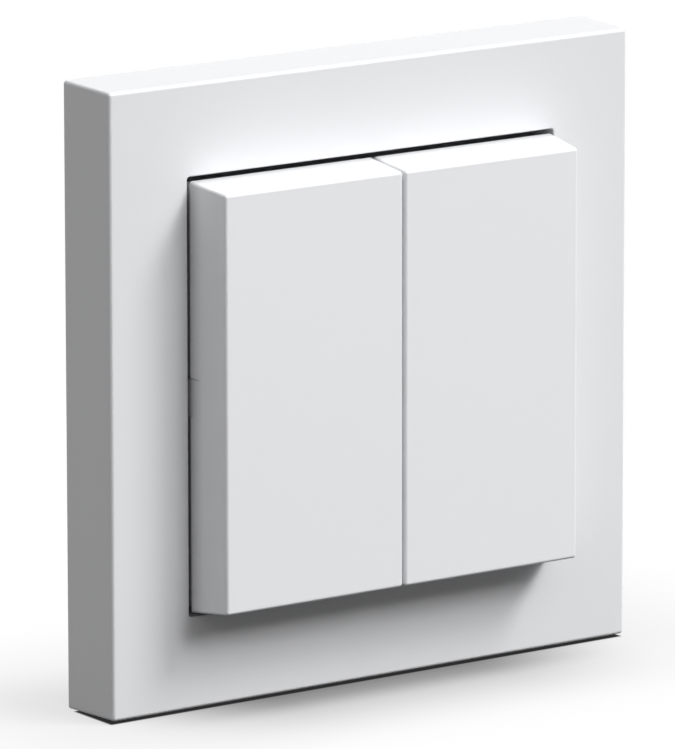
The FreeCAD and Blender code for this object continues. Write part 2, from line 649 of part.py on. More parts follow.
def retaining_frame():
    """The inner frame: a flange on the lip, a sleeve round the module and four hooks."""
    flange = middle_block(
        "flange",
        "opening_width - 2 * flange_play",
        ("lip_front", "flange_front"),
        "opening_height - 2 * flange_play",
    )
    outside = "2 * (sleeve_inside + sleeve_wall)"
    sleeve = middle_block("sleeve", outside, ("sleeve_back", "sleeve_front"), outside)
    legs = []
    for side, middle in {"left": "-hook_offset", "right": "hook_offset"}.items():
        for end, sign in {"lower": -1, "upper": 1}.items():
            across = (f"{middle} - hook_width / 2", f"{middle} + hook_width / 2")
            leg = ("hook_height - hook_thickness / 2", "hook_height + hook_thickness / 2")
            head = (leg[0], leg[1] + " + hook_reach")
            leg_depth = ("hook_tip", "flange_front")
            head_depth = ("hook_tip", "hook_tip + hook_head")
            for name, span, depth in (("leg", leg, leg_depth), ("head", head, head_depth)):
                up = span if sign > 0 else (f"-({span[1]})", f"-({span[0]})")
                legs.append(block(f"hook_{name}_{end}_{side}", across, depth, up))
    inside = "2 * sleeve_inside"
    window = middle_block("sleeve_window", inside, ("0", "module_front"), inside)
    gap = middle_block(
        "bow_gap",
        f"{outside} + 2 * flange_play",
        ("sleeve_back - flange_play", "module_front"),
        "sleeve_gap",
    )
    catches = []
    for side, middle in {"left": "-lug_offset", "right": "lug_offset"}.items():
        across = (f"{middle} - lug_width / 2 - hook_play", f"{middle} + lug_width / 2 + hook_play")
        reach = "module_side / 2 + lug_reach + hook_play"
        catches.append(
            block(
                f"lug_catch_{side}",
                across,
                ("lug_back - hook_play", "lug_back + lug_height + hook_play"),
                (f"-({reach})", reach),
            )
        )
    solid = joined("retaining_solid", [flange, sleeve, *legs])
    keep(cut("retaining_frame", solid, [window, gap, *catches]), "retaining_frame")


def module_base():
    """The tray of the module, with board posts, seats for the generator and snap lugs."""
    shell = rounded_block(
        "tray_block", "module_side", ("module_back", "module_split"), "module_side",
        "module_corner_radius",
    )
    inside = "2 * module_inside"
    cavity = middle_block("tray_cavity", inside, ("module_floor_top", "module_front"), inside)
    bow_slot = middle_block(
        "bow_slot",
        "module_side + 2 * module_wall",
        ("bow_depth - bow_travel", "module_front"),
        "bow_width + 2 * bow_play",
    )
    tray = cut("tray", shell, [cavity, bow_slot])
    added = []
    low, high = "board_side / 2 - post_side", "board_side / 2"
    for side, across in {"left": (f"-({high})", f"-({low})"), "right": (low, high)}.items():
        for end, up in {"lower": (f"-({high})", f"-({low})"), "upper": (low, high)}.items():
            depth = ("module_floor_top - module_floor / 2", "board_back")
            added.append(block(f"board_post_{end}_{side}", across, depth, up))
    pole_seat = block(
        "pole_seat",
        ("-pole_width / 2", "pole_width / 2"),
        ("module_floor_top - module_floor / 2", "pole_bed"),
        ("pole_bottom", "pole_top"),
    )
    added.append(pole_seat)
    for side, sign in {"left": "-1", "right": "1"}.items():
        across = f"{sign} * (pole_width / 2 - yoke_sheet / 2)"
        added.append(
            block(
                f"yoke_seat_{side}",
                (f"{across} - yoke_sheet / 2", f"{across} + yoke_sheet / 2"),
                ("module_floor_top - module_floor / 2", "yoke_back"),
                ("bobbin_bottom", "bobbin_bottom + yoke_height"),
            )
        )
        for end, side_sign in {"lower": -1, "upper": 1}.items():
            up = ("module_inside", "module_side / 2 + lug_reach")
            up = up if side_sign > 0 else (f"-({up[1]})", f"-({up[0]})")
            middle = f"{sign} * lug_offset"
            added.append(
                block(
                    f"lug_{end}_{side}",
                    (f"{middle} - lug_width / 2", f"{middle} + lug_width / 2"),
                    ("lug_back", "lug_back + lug_height"),
                    up,
                )
            )
    added.append(
        rod(
            "spring_peg", "out", "spring_radius - spring_wire - spring_play",
            ("0", "module_floor_top - module_floor / 2", "-spring_below"),
            "module_floor",
        )
    )
    keep(joined("module_base", [tray, *added]), "module_base")


def module_cover():
    """The lid of the module, with dome holes, bearing posts and the pins for the rockers."""
    shell = rounded_block(
        "lid_block", "module_side", ("module_split", "module_front"), "module_side",
        "module_corner_radius",
    )
    inside = "2 * module_inside"
    tools = [middle_block("lid_cavity", inside, ("0", "mat_front"), inside)]
    for across in ("-dome_spacing / 2", "dome_spacing / 2"):
        for up in ("-dome_spacing / 2", "dome_spacing / 2"):
            tools.append(
                rod(
                    f"dome_hole_{len(tools)}", "out", "dome_radius + dome_play",
                    (across, "mat_back", up), "module_front",
                )
            )
    lid = cut("lid", shell, tools)
    posts = []
    root = "module_front - module_floor / 2"
    radius = "pivot_post_radius"
    for name, middle in {
        "left": "-outer_post_middle", "middle": "0", "right": "outer_post_middle"
    }.items():
        low = f"{middle} - pivot_post_width / 2"
        high = f"{middle} + pivot_post_width / 2"
        posts.append(block(f"post_{name}", (low, high), (root, "pivot_depth"), (f"-{radius}", radius)))
        posts.append(
            rod(f"post_top_{name}", "across", radius, (low, "pivot_depth", "0"), "pivot_post_width")
        )
    reach = "pivot_pin_length"
    half = "pivot_post_width / 2"
    for name, start, length in (
        ("left", "-outer_post_middle", f"{half} + {reach}"),
        ("middle", f"-{half} - {reach}", f"2 * ({half} + {reach})"),
        ("right", f"outer_post_middle - {half} - {reach}", f"{half} + {reach}"),
    ):
        posts.append(
            rod(f"pivot_pin_{name}", "across", "pivot_pin_radius", (start, "pivot_depth", "0"), length)
        )
    keep(joined("module_cover", [lid, *posts]), "module_cover")


def dome_places():
    """Where the four domes are: one under each end of each rocker."""
    ends = ("-dome_spacing / 2", "dome_spacing / 2")
    return [(across, up) for across in ends for up in ends]


def contact_mat():
    """The silicone mat: a sheet with four domes, each hollow at the back for its pill."""
    solids = [middle_block("mat_sheet", "mat_side", ("mat_back", "mat_front"), "mat_side")]
    recesses = []
    for number, (across, up) in enumerate(dome_places()):
        start = (across, "mat_front - mat_thickness / 2", up)
        height = "dome_height + mat_thickness / 2"
        solids.append(rod(f"dome_{number}", "out", "dome_radius", start, height))
        recesses.append(
            rod(
                f"pill_recess_{number}", "out", "dome_radius + dome_play / 2",
                (across, "board_back", up), "board_thickness + pill_recess",
            )
        )
    sheet = joined("mat_solid", solids)
    domes = rounded(
        "mat_rounded", sheet, ("dome_edge_radius", lambda edge: at_depth(edge, "dome_tip"))
    )
    keep(cut("contact_mat", domes, recesses), "contact_mat")


def contact_discs():
    """The pills in the domes and the plated contacts under them."""
    pills, contacts = [], []
    for number, (across, up) in enumerate(dome_places()):
        pill_start = (across, "mat_back + pill_recess - pill_thickness", up)
        pills.append(rod(f"pill_{number}", "out", "pill_radius", pill_start, "pill_thickness"))
        contact_start = (across, "mat_back", up)
        contacts.append(
            rod(f"contact_{number}", "out", "pill_radius", contact_start, "contact_thickness")
        )
    keep(group("carbon_pills", pills), "carbon_pills")
    keep(group("contact_pads", contacts), "contact_pads")


def circuit_board():
    """The board, with holes for the coil terminals."""
    body = new_body("circuit_board")
    outline = new_sketch(body, "board_outline", "board_back")
    add_rectangle(outline, "board_side", "board_side")
    add_feature(body, "Pad", "board_block", outline, "board_thickness")
    holes = new_sketch(body, "terminal_hole_outlines", "mat_back")
    radius = value("terminal_radius + terminal_play")
    height = value("terminal_up")
    for number, sign in enumerate((-1, 1)):
        middle = FreeCAD.Vector(sign * value("terminal_offset"), height)
        holes.addGeometry(Part.Circle(middle, FreeCAD.Vector(0, 0, 1), radius), False)
        size_constraint(holes, "terminal_radius + terminal_play", "Radius", number)
        size_constraint(holes, f"{sign} * terminal_offset", "DistanceX", -1, 1, number, 3)
        size_constraint(holes, "terminal_up", "DistanceY", -1, 1, number, 3)
    add_feature(body, "Pocket", "terminal_holes", holes, "board_thickness")
    keep(body, "circuit_board")


def on_board(name, across, up, height):
    """A block that hangs from the back of the board, with its low corner at (across, up)."""
    return block(name, across, (f"board_back - {height}", "board_back"), up)


def board_parts():
    """What is soldered to the back of the board, above the generator."""
    shield = on_board(
        "shield_block", ("-shield_left", "-shield_left + shield_side"),
        ("parts_up", "parts_up + shield_side"), "shield_height",
    )
    can = rounded(
        "radio_module", shield,
        ("shield_edge_radius", lambda edge: at_depth(edge, "board_back - shield_height")),
    )
    keep(can, "radio_module")
    chip = ("chip_left", "parts_up + chip_side")
    keep(
        on_board(
            "microcontroller", (chip[0], "chip_left + chip_side"), (chip[1], chip[1] + " + chip_side"),
            "chip_height",
        ),
        "microcontroller",
    )
    keep(
        on_board(
            "rectifier", ("chip_left", "chip_left + rectifier_width"),
            ("parts_up", "parts_up + rectifier_length"), "chip_height",
        ),
        "rectifier",
    )
    crystal_start = "chip_left + chip_side + resistor_width"
    keep(
        on_board(
            "crystal", (crystal_start, crystal_start + " + crystal_length"),
            (chip[1] + " + chip_side / 2", chip[1] + " + chip_side / 2 + crystal_width"),
            "crystal_height",
        ),
        "crystal",
    )
    cans = []
    for number in range(CAPACITORS):
        up = f"parts_up + capacitor_radius + {number} * capacitor_pitch"
        start = ("capacitor_across", "board_back - capacitor_height", up)
        cans.append(rod(f"capacitor_{number}", "out", "capacitor_radius", start, "capacitor_height"))
    keep(group("storage_capacitors", cans), "storage_capacitors")
    resistors = []
    for number in range(RESISTORS):
        start = f"{number} * resistor_pitch - shield_left"
        resistors.append(
            on_board(
                f"resistor_{number}", (start, f"{start} + resistor_width"),
                ("parts_up - resistor_width - resistor_length", "parts_up - resistor_width"),
                "resistor_width / 2",
            )
        )
    keep(group("chip_resistors", resistors), "chip_resistors")


def wire_tube(points, radius, bend):
    """A round wire along straight runs joined by arcs."""
    edges = []
    start = points[0]
    for corner, after in zip(points[1:-1], points[2:]):
        before = (start - corner).normalize()
        onward = (after - corner).normalize()
        enter, leave = corner + before * bend, corner + onward * bend
        inward = (before + onward).normalize()
        middle = corner + inward * bend * (math.sqrt(2) - 1)
        edges.append(Part.LineSegment(start, enter).toShape())
        edges.append(Part.Arc(enter, middle, leave).toShape())
        start = leave
    edges.append(Part.LineSegment(start, points[-1]).toShape())
    path = Part.Wire(edges)
    along = (points[1] - points[0]).normalize()
    profile = Part.Wire([Part.makeCircle(radius, points[0], along)])
    return path.makePipeShell([profile], True, False)


def antenna_wire():
    """A wire that leaves the board, runs along its top edge and comes back to it."""
    half, drop = value("antenna_length / 2"), value("antenna_drop")
    board, height = value("-board_back"), value("board_side / 2 - antenna_inset")
    points = [
        FreeCAD.Vector(-half, board, height),
        FreeCAD.Vector(-half, board + drop, height),
        FreeCAD.Vector(half, board + drop, height),
        FreeCAD.Vector(half, board, height),
    ]
    wire = doc.addObject("Part::Feature", "antenna_wire")
    wire.Shape = wire_tube(points, value("antenna_radius"), value("antenna_drop / 2"))
    keep(wire, "antenna_wire")


def generator_yoke():
    """A bent sheet of soft iron: a cross piece and two legs, bored for the armature's pin."""
    half = "pole_width / 2"
    depth = ("yoke_back", "yoke_back + yoke_height")
    outside = block("yoke_outside", (f"-{half}", half), depth, ("yoke_bottom", "pole_bottom"))
    inner = f"{half} - yoke_sheet"
    inside = block(
        "yoke_inside", (f"-({inner})", inner), ("0", "module_front"),
        ("yoke_bottom + yoke_sheet", "pole_top"),
    )
    bore = rod(
        "yoke_bore", "across", "armature_pin_radius + yoke_play",
        (f"-{half}", "armature_depth", "-armature_pivot"), "pole_width",
    )
    keep(cut("generator_yoke", outside, [inside, bore]), "generator_yoke")
    pin = rod(
        "armature_pin", "across", "armature_pin_radius",
        (f"-{half}", "armature_depth", "-armature_pivot"), "pole_width",
    )
    keep(pin, "armature_pin")


def coil():
    """The bobbin, with a flat tube that the armature moves in, its winding and its two pins."""
    inner = ("armature_back - armature_room_back", "armature_face + armature_room_front")
    outer = (f"{inner[0]} - bobbin_wall", f"{inner[1]} + bobbin_wall")
    inner_half = "(armature_width / 2 + bobbin_room)"
    outer_half = f"({inner_half} + bobbin_wall)"
    whole = ("bobbin_bottom", "bobbin_top")
    tube = block("bobbin_tube", (f"-{outer_half}", outer_half), outer, whole)
    flange_across = ("-bobbin_flange_width / 2", "bobbin_flange_width / 2")
    flange_depth = ("module_floor_top", "board_back - bobbin_clear")
    flanges = [
        block("flange_low", flange_across, flange_depth, (whole[0], "bobbin_bottom + bobbin_flange")),
        block("flange_high", flange_across, flange_depth, ("bobbin_top - bobbin_flange", whole[1])),
    ]
    passage = block("bobbin_passage", (f"-{inner_half}", inner_half), inner, whole)
    keep(cut("coil_bobbin", joined("bobbin_solid", [tube, *flanges]), [passage]), "coil_bobbin")

    between = ("bobbin_bottom + bobbin_flange", "bobbin_top - bobbin_flange")
    middle = f"(({outer[0]}) + ({outer[1]})) / 2"
    winding_block = block(
        "winding_block", ("-winding_width / 2", "winding_width / 2"),
        (f"{middle} - winding_depth / 2", f"{middle} + winding_depth / 2"), between,
    )
    turns = rounded("winding_rounded", winding_block, ("winding_radius", goes_up))
    core = block("winding_core", (f"-{outer_half}", outer_half), outer, between)
    keep(cut("coil_winding", turns, [core]), "coil_winding")

    pins = []
    for name, sign in {"left": "-1", "right": "1"}.items():
        start = (f"{sign} * terminal_offset", "board_back - bobbin_clear", "terminal_up")
        length = "bobbin_clear + board_thickness - terminal_play"
        pins.append(rod(f"terminal_{name}", "out", "terminal_radius", start, length))
    keep(group("coil_terminals", pins), "coil_terminals")


def magnet_and_poles():
    """Two magnets between two pole plates, with the armature's tip in the gap."""
    half = "pole_width / 2"
    up = ("pole_bottom", "pole_top")
    front = ("pole_face", "pole_face + pole_thickness")
    back = ("pole_bed", "pole_bed + pole_thickness")
    keep(block("pole_plate_front", (f"-{half}", half), front, up), "pole_plate_front")
    keep(block("pole_plate_back", (f"-{half}", half), back, up), "pole_plate_back")
    between = (back[1], front[0])
    inner = f"({half} - magnet_width)"
    magnets = [
        block("magnet_left", (f"-{half}", f"-{inner}"), between, up),
        block("magnet_right", (inner, half), between, up),
    ]
    keep(group("magnets", magnets), "magnets")


def armature():
    """The iron lever that flips between the pole plates, with a knuckle on its pin."""
    lever = block(
        "armature_lever", ("-armature_width / 2", "armature_width / 2"),
        ("armature_back", "armature_face"), ("-armature_pivot", "armature_tip"),
    )
    start = ("-armature_width / 2", "armature_depth", "-armature_pivot")
    knuckle = rod("armature_knuckle_rod", "across", "armature_knuckle", start, "armature_width")
    bore = rod(
        "armature_bore", "across", "armature_pin_radius + pivot_play", start, "armature_width"
    )
    keep(cut("armature", joined("armature_solid", [lever, knuckle]), [bore]), "armature")


def armature_spring():
    """A small compression spring between the tray's floor and the armature."""
    wire, radius = value("spring_wire"), value("spring_radius")
    low = value("module_floor_top + spring_play + spring_wire / 2")
    high = value("armature_back - spring_play - spring_wire / 2")
    helix = Part.makeHelix((high - low) / value("spring_turns"), high - low, radius)
    profile = Part.Wire(
        [Part.makeCircle(wire / 2, FreeCAD.Vector(radius, 0, 0), FreeCAD.Vector(0, 1, 0))]
    )
    spring = doc.addObject("Part::Feature", "armature_spring")
    spring.Shape = Part.Wire(helix.Edges).makePipeShell([profile], True, True)
    spring.Placement = FreeCAD.Placement(
        FreeCAD.Vector(0, -low, value("-spring_below")), TURNS["out"]
    )
    keep(spring, "armature_spring")


def energy_bow():
    """Spring steel: a cross bar behind the board, an upright at each side, and a press bar on each."""
    outer = "(bow_side + bow_thickness)"
    half = "bow_width / 2"
    solids = [
        block(
            "bow_cross_bar", (f"-{outer}", outer), ("bow_depth", "bow_depth + bow_thickness"),
            (f"-{half}", half),
        )
    ]
    head_half = "bow_head_length / 2"
    for name, sign in {"left": -1, "right": 1}.items():
        def span(low, high):
            return (low, high) if sign > 0 else (f"-({high})", f"-({low})")
        upright = span("bow_side", outer)
        head = span("bow_side", "bow_side + bow_head_width")
        depth = ("bow_depth", "bow_front")
        solids.append(block(f"bow_upright_{name}", upright, depth, (f"-{half}", half)))
        solids.append(
            block(
                f"bow_head_{name}", head, ("bow_front - bow_thickness", "bow_front"),
                (f"-{head_half}", head_half),
            )
        )
    keep(joined("energy_bow", solids), "energy_bow")


def ear(name, low):
    """An eye in a rocker that snaps over a pin. It starts at a place across and opens to the back."""
    across = (low, f"{low} + ear_width")
    arm = block(
        f"{name}_arm", across, ("pivot_depth", "rocker_inside + rocker_front_wall / 2"),
        ("-ear_radius", "ear_radius"),
    )
    start = (low, "pivot_depth", "0")
    eye = rod(f"{name}_eye", "across", "ear_radius", start, "ear_width")
    bore = rod(f"{name}_bore", "across", "pivot_pin_radius + pivot_play", start, "ear_width")
    mouth = block(
        f"{name}_mouth", across, ("pivot_depth - 2 * ear_radius", "pivot_depth"),
        ("-ear_mouth / 2", "ear_mouth / 2"),
    )
    return cut(name, joined(f"{name}_solid", [arm, eye]), [bore, mouth])


def rockers():
    """Two mirrored shells that tilt on the lid's pins, each with ears, pegs, lugs and ribs."""
    wide, high = "rocker_pair_width / 2", "rocker_pair_height / 2"
    seam = "-seam_gap / 2"
    front_across = (f"-({wide} - rocker_draft)", seam)
    front_up = (f"-({high} - rocker_draft)", f"{high} - rocker_draft")
    base_across, base_up = (f"-{wide}", seam), (f"-{high}", high)
    face = tapered_block(
        "rocker_face", "rocker_front", "frame_depth", front_across, front_up, base_across, base_up
    )
    skirt = block(
        "rocker_skirt", (f"-({wide} - skirt_step)", seam), ("skirt_back", "frame_depth"),
        (f"-({high} - skirt_step)", f"{high} - skirt_step"),
    )
    shell = joined("rocker_block", [face, skirt])

    middle = -value(wide) / 2

    def is_outer(edge):
        return edge.BoundBox.XMin < middle

    def is_face_edge(edge):
        return goes_out(edge) or at_depth(edge, "rocker_front")

    shell = rounded(
        "rocker_edges",
        shell,
        ("rocker_edge_radius", lambda edge: is_face_edge(edge) and is_outer(edge)),
        ("seam_edge_radius", lambda edge: is_face_edge(edge) and not is_outer(edge)),
    )

    lean_at_notch = "rocker_draft * notch_reach / rocker_stand_out"
    notch_up = ("-notch_height / 2", "notch_height / 2")
    outside = f"-({wide} + notch_depth)"
    notch = tapered_block(
        "side_notch", "frame_depth + notch_reach", "frame_depth",
        (outside, f"-({wide} - {lean_at_notch})"), notch_up,
        (outside, f"-({wide} - notch_depth)"), notch_up,
    )

    inside_seam = "-(seam_gap / 2 + seam_wall)"
    inner_front_across = (f"-({wide} - rocker_draft - rocker_side_wall)", inside_seam)
    inner_high = f"({high} - rocker_draft - rocker_side_wall)"
    base_inner_high = f"({high} - rocker_side_wall)"
    hollow_face = tapered_block(
        "hollow_face", "rocker_inside", "frame_depth",
        inner_front_across, (f"-{inner_high}", inner_high),
        (f"-({wide} - rocker_side_wall)", inside_seam), (f"-{base_inner_high}", base_inner_high),
    )
    hollow_skirt = block(
        "hollow_skirt", (f"-({wide} - rocker_side_wall)", inside_seam),
        ("module_back", "frame_depth"), (f"-{base_inner_high}", base_inner_high),
    )
    seam_back = "rocker_inside - seam_wall_depth"
    seam_cut = block(
        "seam_cut", (f"{inside_seam} - seam_gap", "0"), ("module_back", seam_back),
        (f"-{inner_high}", inner_high),
    )
    seam_notch = block(
        "seam_notch_cut", (f"{inside_seam} - seam_gap", "0"), ("module_back", "rocker_inside"),
        ("-seam_notch / 2", "seam_notch / 2"),
    )
    hollow = cut("rocker_hollow", shell, [notch, hollow_face, hollow_skirt, seam_cut, seam_notch])

    side_guide = block(
        "side_guide", (f"-({wide} - notch_depth)", f"-({wide} - (skirt_step + rocker_side_wall) / 2)"),
        ("frame_depth - guide_depth", "frame_depth"), notch_up,
    )

    root = "rocker_inside + rocker_front_wall / 2"
    outer_ear = "-(outer_post_middle - pivot_post_width / 2 - ear_play)"
    inner_ear = "-(pivot_post_width / 2 + ear_play + ear_width)"
    added = [ear("outer_ear", outer_ear), ear("inner_ear", inner_ear), side_guide]
    rib_across = (f"-({wide} - rocker_draft - rocker_side_wall / 2)", "-seam_gap / 2 - seam_wall / 2")
    lug_middle = "-(bow_side + bow_head_width / 2)"
    for name, sign in {"lower": "-1", "upper": "1"}.items():
        added.append(
            block(
                f"stiffening_rib_{name}", rib_across, ("rocker_inside - rib_depth", root),
                (f"{sign} * rib_offset - rib_width / 2", f"{sign} * rib_offset + rib_width / 2"),
            )
        )
        peg_start = ("-dome_spacing / 2", "dome_tip + press_room", f"{sign} * dome_spacing / 2")
        added.append(
            rod(f"peg_{name}", "out", "press_radius", peg_start, f"{root} - dome_tip - press_room")
        )
        middle = f"{sign} * press_lug_height"
        added.append(
            block(
                f"press_lug_{name}",
                (f"{lug_middle} - press_lug_width / 2", f"{lug_middle} + press_lug_width / 2"),
                ("bow_front + bow_room", root),
                (f"{middle} - press_lug_length / 2", f"{middle} + press_lug_length / 2"),
            )
        )
    left = joined("rocker_left", [hollow, *added])
    keep(left, "rocker_left")
    right = doc.addObject("Part::Mirroring", "rocker_right")
    right.Source = left
    right.Normal = FreeCAD.Vector(1, 0, 0)
    keep(right, "rocker_right")


def write_pieces():
    """Check every object and every piece, and write each piece to a file of its own."""
    doc.recompute()
    for item in doc.Objects:
        if "Invalid" in item.State or "Error" in item.State:
            raise ValueError(f"{item.Name} is in state {item.State}")
    os.makedirs("parts", exist_ok=True)
    for piece in pieces:
        if piece.Shape.isNull() or not piece.Shape.isValid():
            raise ValueError(f"{piece.Label} has no valid shape")
        piece.Shape.exportStep(f"parts/{piece.Label}.step")
        solids = len(piece.Shape.Solids)
        print(f"{piece.Label}: {solids} solid(s), {piece.Shape.Volume:.2f} mm3")


fill_sheet("Sizes", [(alias, str(size)) for alias, size, _ in SIZES])
doc.recompute()
places = fill_sheet("Places", [(alias, "=" + linked(formula, "Sizes")) for alias, formula in PLACES])
doc.recompute()
outer_frame()
wall_plate()
adhesive_pads()
retaining_frame()
module_base()
module_cover()
contact_mat()
contact_discs()
circuit_board()
board_parts()
antenna_wire()
generator_yoke()
coil()
magnet_and_poles()
armature()
armature_spring()
energy_bow()
rockers()
write_pieces()
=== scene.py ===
# Wireless wall switch with a double rocker, on a white table.
# Metres. +X is right, +Z is up and the front faces -Y, as in the frame.
import math
import bmesh
import bpy
from mathutils import Matrix, Vector


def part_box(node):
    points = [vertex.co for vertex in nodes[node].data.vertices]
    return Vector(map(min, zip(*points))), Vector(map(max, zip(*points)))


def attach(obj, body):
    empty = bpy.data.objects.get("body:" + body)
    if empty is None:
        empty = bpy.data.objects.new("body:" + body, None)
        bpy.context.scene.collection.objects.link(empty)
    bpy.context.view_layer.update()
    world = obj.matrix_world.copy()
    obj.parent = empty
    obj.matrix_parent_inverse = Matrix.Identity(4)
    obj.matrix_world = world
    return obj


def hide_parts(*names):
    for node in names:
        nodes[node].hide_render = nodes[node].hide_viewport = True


mm = 0.001
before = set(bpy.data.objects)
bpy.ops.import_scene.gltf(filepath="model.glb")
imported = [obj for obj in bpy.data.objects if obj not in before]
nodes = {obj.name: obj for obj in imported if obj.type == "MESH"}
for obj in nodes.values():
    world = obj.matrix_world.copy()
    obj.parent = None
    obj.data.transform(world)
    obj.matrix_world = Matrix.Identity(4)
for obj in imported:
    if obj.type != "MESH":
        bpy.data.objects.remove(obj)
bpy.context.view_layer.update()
print("frame loaded:", len(nodes), "nodes")


def direction(azimuth, elevation):
    # unit vector from the object: azimuth 0 is the front and 90 the right
    across, up = math.radians(azimuth), math.radians(elevation)
    level = math.cos(up)
    return Vector((math.sin(across) * level, -math.cos(across) * level, math.sin(up)))


def aim(thing, place, target):
    thing.location = place
    thing.rotation_mode = "QUATERNION"
    thing.rotation_quaternion = (target - place).to_track_quat("-Z", "Y")


def addObject(name, data):
    made = bpy.data.objects.new(name, data)
    bpy.context.scene.collection.objects.link(made)
    return made


def dimmed(colour, share):
    return [part * share for part in colour]


# Node maths: a socket with the operators of arithmetic
class Flow:
    def __init__(self, graph, socket):
        self.graph = graph
        self.socket = socket

    def __add__(self, other):
        return self.graph.maths("ADD", self, other)

    def __radd__(self, other):
        return self.graph.maths("ADD", other, self)

    def __sub__(self, other):
        return self.graph.maths("SUBTRACT", self, other)

    def __rsub__(self, other):
        return self.graph.maths("SUBTRACT", other, self)

    def __mul__(self, other):
        return self.graph.maths("MULTIPLY", self, other)

    def __rmul__(self, other):
        return self.graph.maths("MULTIPLY", other, self)

    def __truediv__(self, other):
        return self.graph.maths("DIVIDE", self, other)


# A tree of nodes: one method adds any node, with its settings first and then its inputs
class Graph:
    def node(self, kind, settings=None, inputs=None, output=0):
        made = self.tree.nodes.new(kind)
        for name, value in (settings or {}).items():
            setattr(made, name, value)
        for name, value in (inputs or {}).items():
            if isinstance(value, Flow):
                self.tree.links.new(value.socket, made.inputs[name])
            else:
                made.inputs[name].default_value = value
        return Flow(self, made.outputs[output])

    def maths(self, operation, *values):
        return self.node("ShaderNodeMath", {"operation": operation}, dict(enumerate(values)))

    def vector(self, operation, first, second=(0, 0, 0), output="Vector"):
        values = {0: first, 1: second}
        return self.node("ShaderNodeVectorMath", {"operation": operation}, values, output)

    def above(self, value, limit):
        return self.maths("GREATER_THAN", value, limit)

    def below(self, value, limit):
        return self.maths("LESS_THAN", value, limit)

    def larger(self, first, second):
        return self.maths("MAXIMUM", first, second)

    def size(self, value):
        return self.maths("ABSOLUTE", value)


class Shader(Graph):
    def __init__(self, name, host=None):
        self.host = host or bpy.data.materials.new(name)
        self.host.use_nodes = True
        self.tree = self.host.node_tree
        self.tree.nodes.clear()

    def place(self, scale=None):
        # a point on the piece, in the frame's metres, or scaled to a pattern's unit
        point = self.node("ShaderNodeTexCoord", output="Object")
        if scale is None:
            return point
        return self.vector("MULTIPLY", point, scale)

    def noise(self, cell, seed, detail=2.0):
        # soft noise from 0 to 1, with bumps about one cell apart, or a cell for each axis
        cells = cell if isinstance(cell, tuple) else (cell,) * 3
        point = self.place(tuple(1 / part for part in cells))
        return self.node(
            "ShaderNodeTexNoise", {"noise_dimensions": "4D"},
            {"Vector": point, "W": seed, "Scale": 1.0, "Detail": detail},
        )

    def parts(self, point):
        split = self.node("ShaderNodeSeparateXYZ", {}, {"Vector": point})
        return [Flow(self, socket) for socket in split.socket.node.outputs]

    def ramp(self, factor, low, high):
        return self.node(
            "ShaderNodeMapRange", {"clamp": True},
            {"Value": factor, "To Min": low, "To Max": high},
        )

    def tint(self, factor, first, second):
        # from the first colour at 0 to the second at 1
        first, second = [
            part if isinstance(part, Flow) else (*part, 1) for part in (first, second)
        ]
        values = {"Factor": factor, "A": first, "B": second}
        return self.node("ShaderNodeMix", {"data_type": "RGBA"}, values, "Result")

    def bump(self, height, depth):
        values = {"Height": height, "Strength": 1.0, "Distance": depth}
        return self.node("ShaderNodeBump", {}, values)

    def away(self, place):
        # distance from a point on the piece
        return self.vector("LENGTH", self.vector("SUBTRACT", self.place(), place), output="Value")

    def smooth(self, value, low, high):
        # 0 up to low, 1 from high on, and a soft step between
        return self.node(
            "ShaderNodeMapRange", {"clamp": True, "interpolation_type": "SMOOTHSTEP"},
            {"Value": value, "From Min": low, "From Max": high},
        )

    def seen(self):
        # 1 for a ray from the camera, a gloss or a clear part, and 0 for light on other things
        rays = ["Is Camera Ray", "Is Glossy Ray", "Is Transmission Ray"]
        first, second, third = [self.node("ShaderNodeLightPath", output=name) for name in rays]
        return self.larger(self.larger(first, second), third)

    def surface(self, inputs):
        self.finish(self.node("ShaderNodeBsdfPrincipled", {}, inputs))

    def finish(self, flow, kind="ShaderNodeOutputMaterial"):
        out = self.tree.nodes.new(kind)
        self.tree.links.new(flow.socket, out.inputs["Surface"])


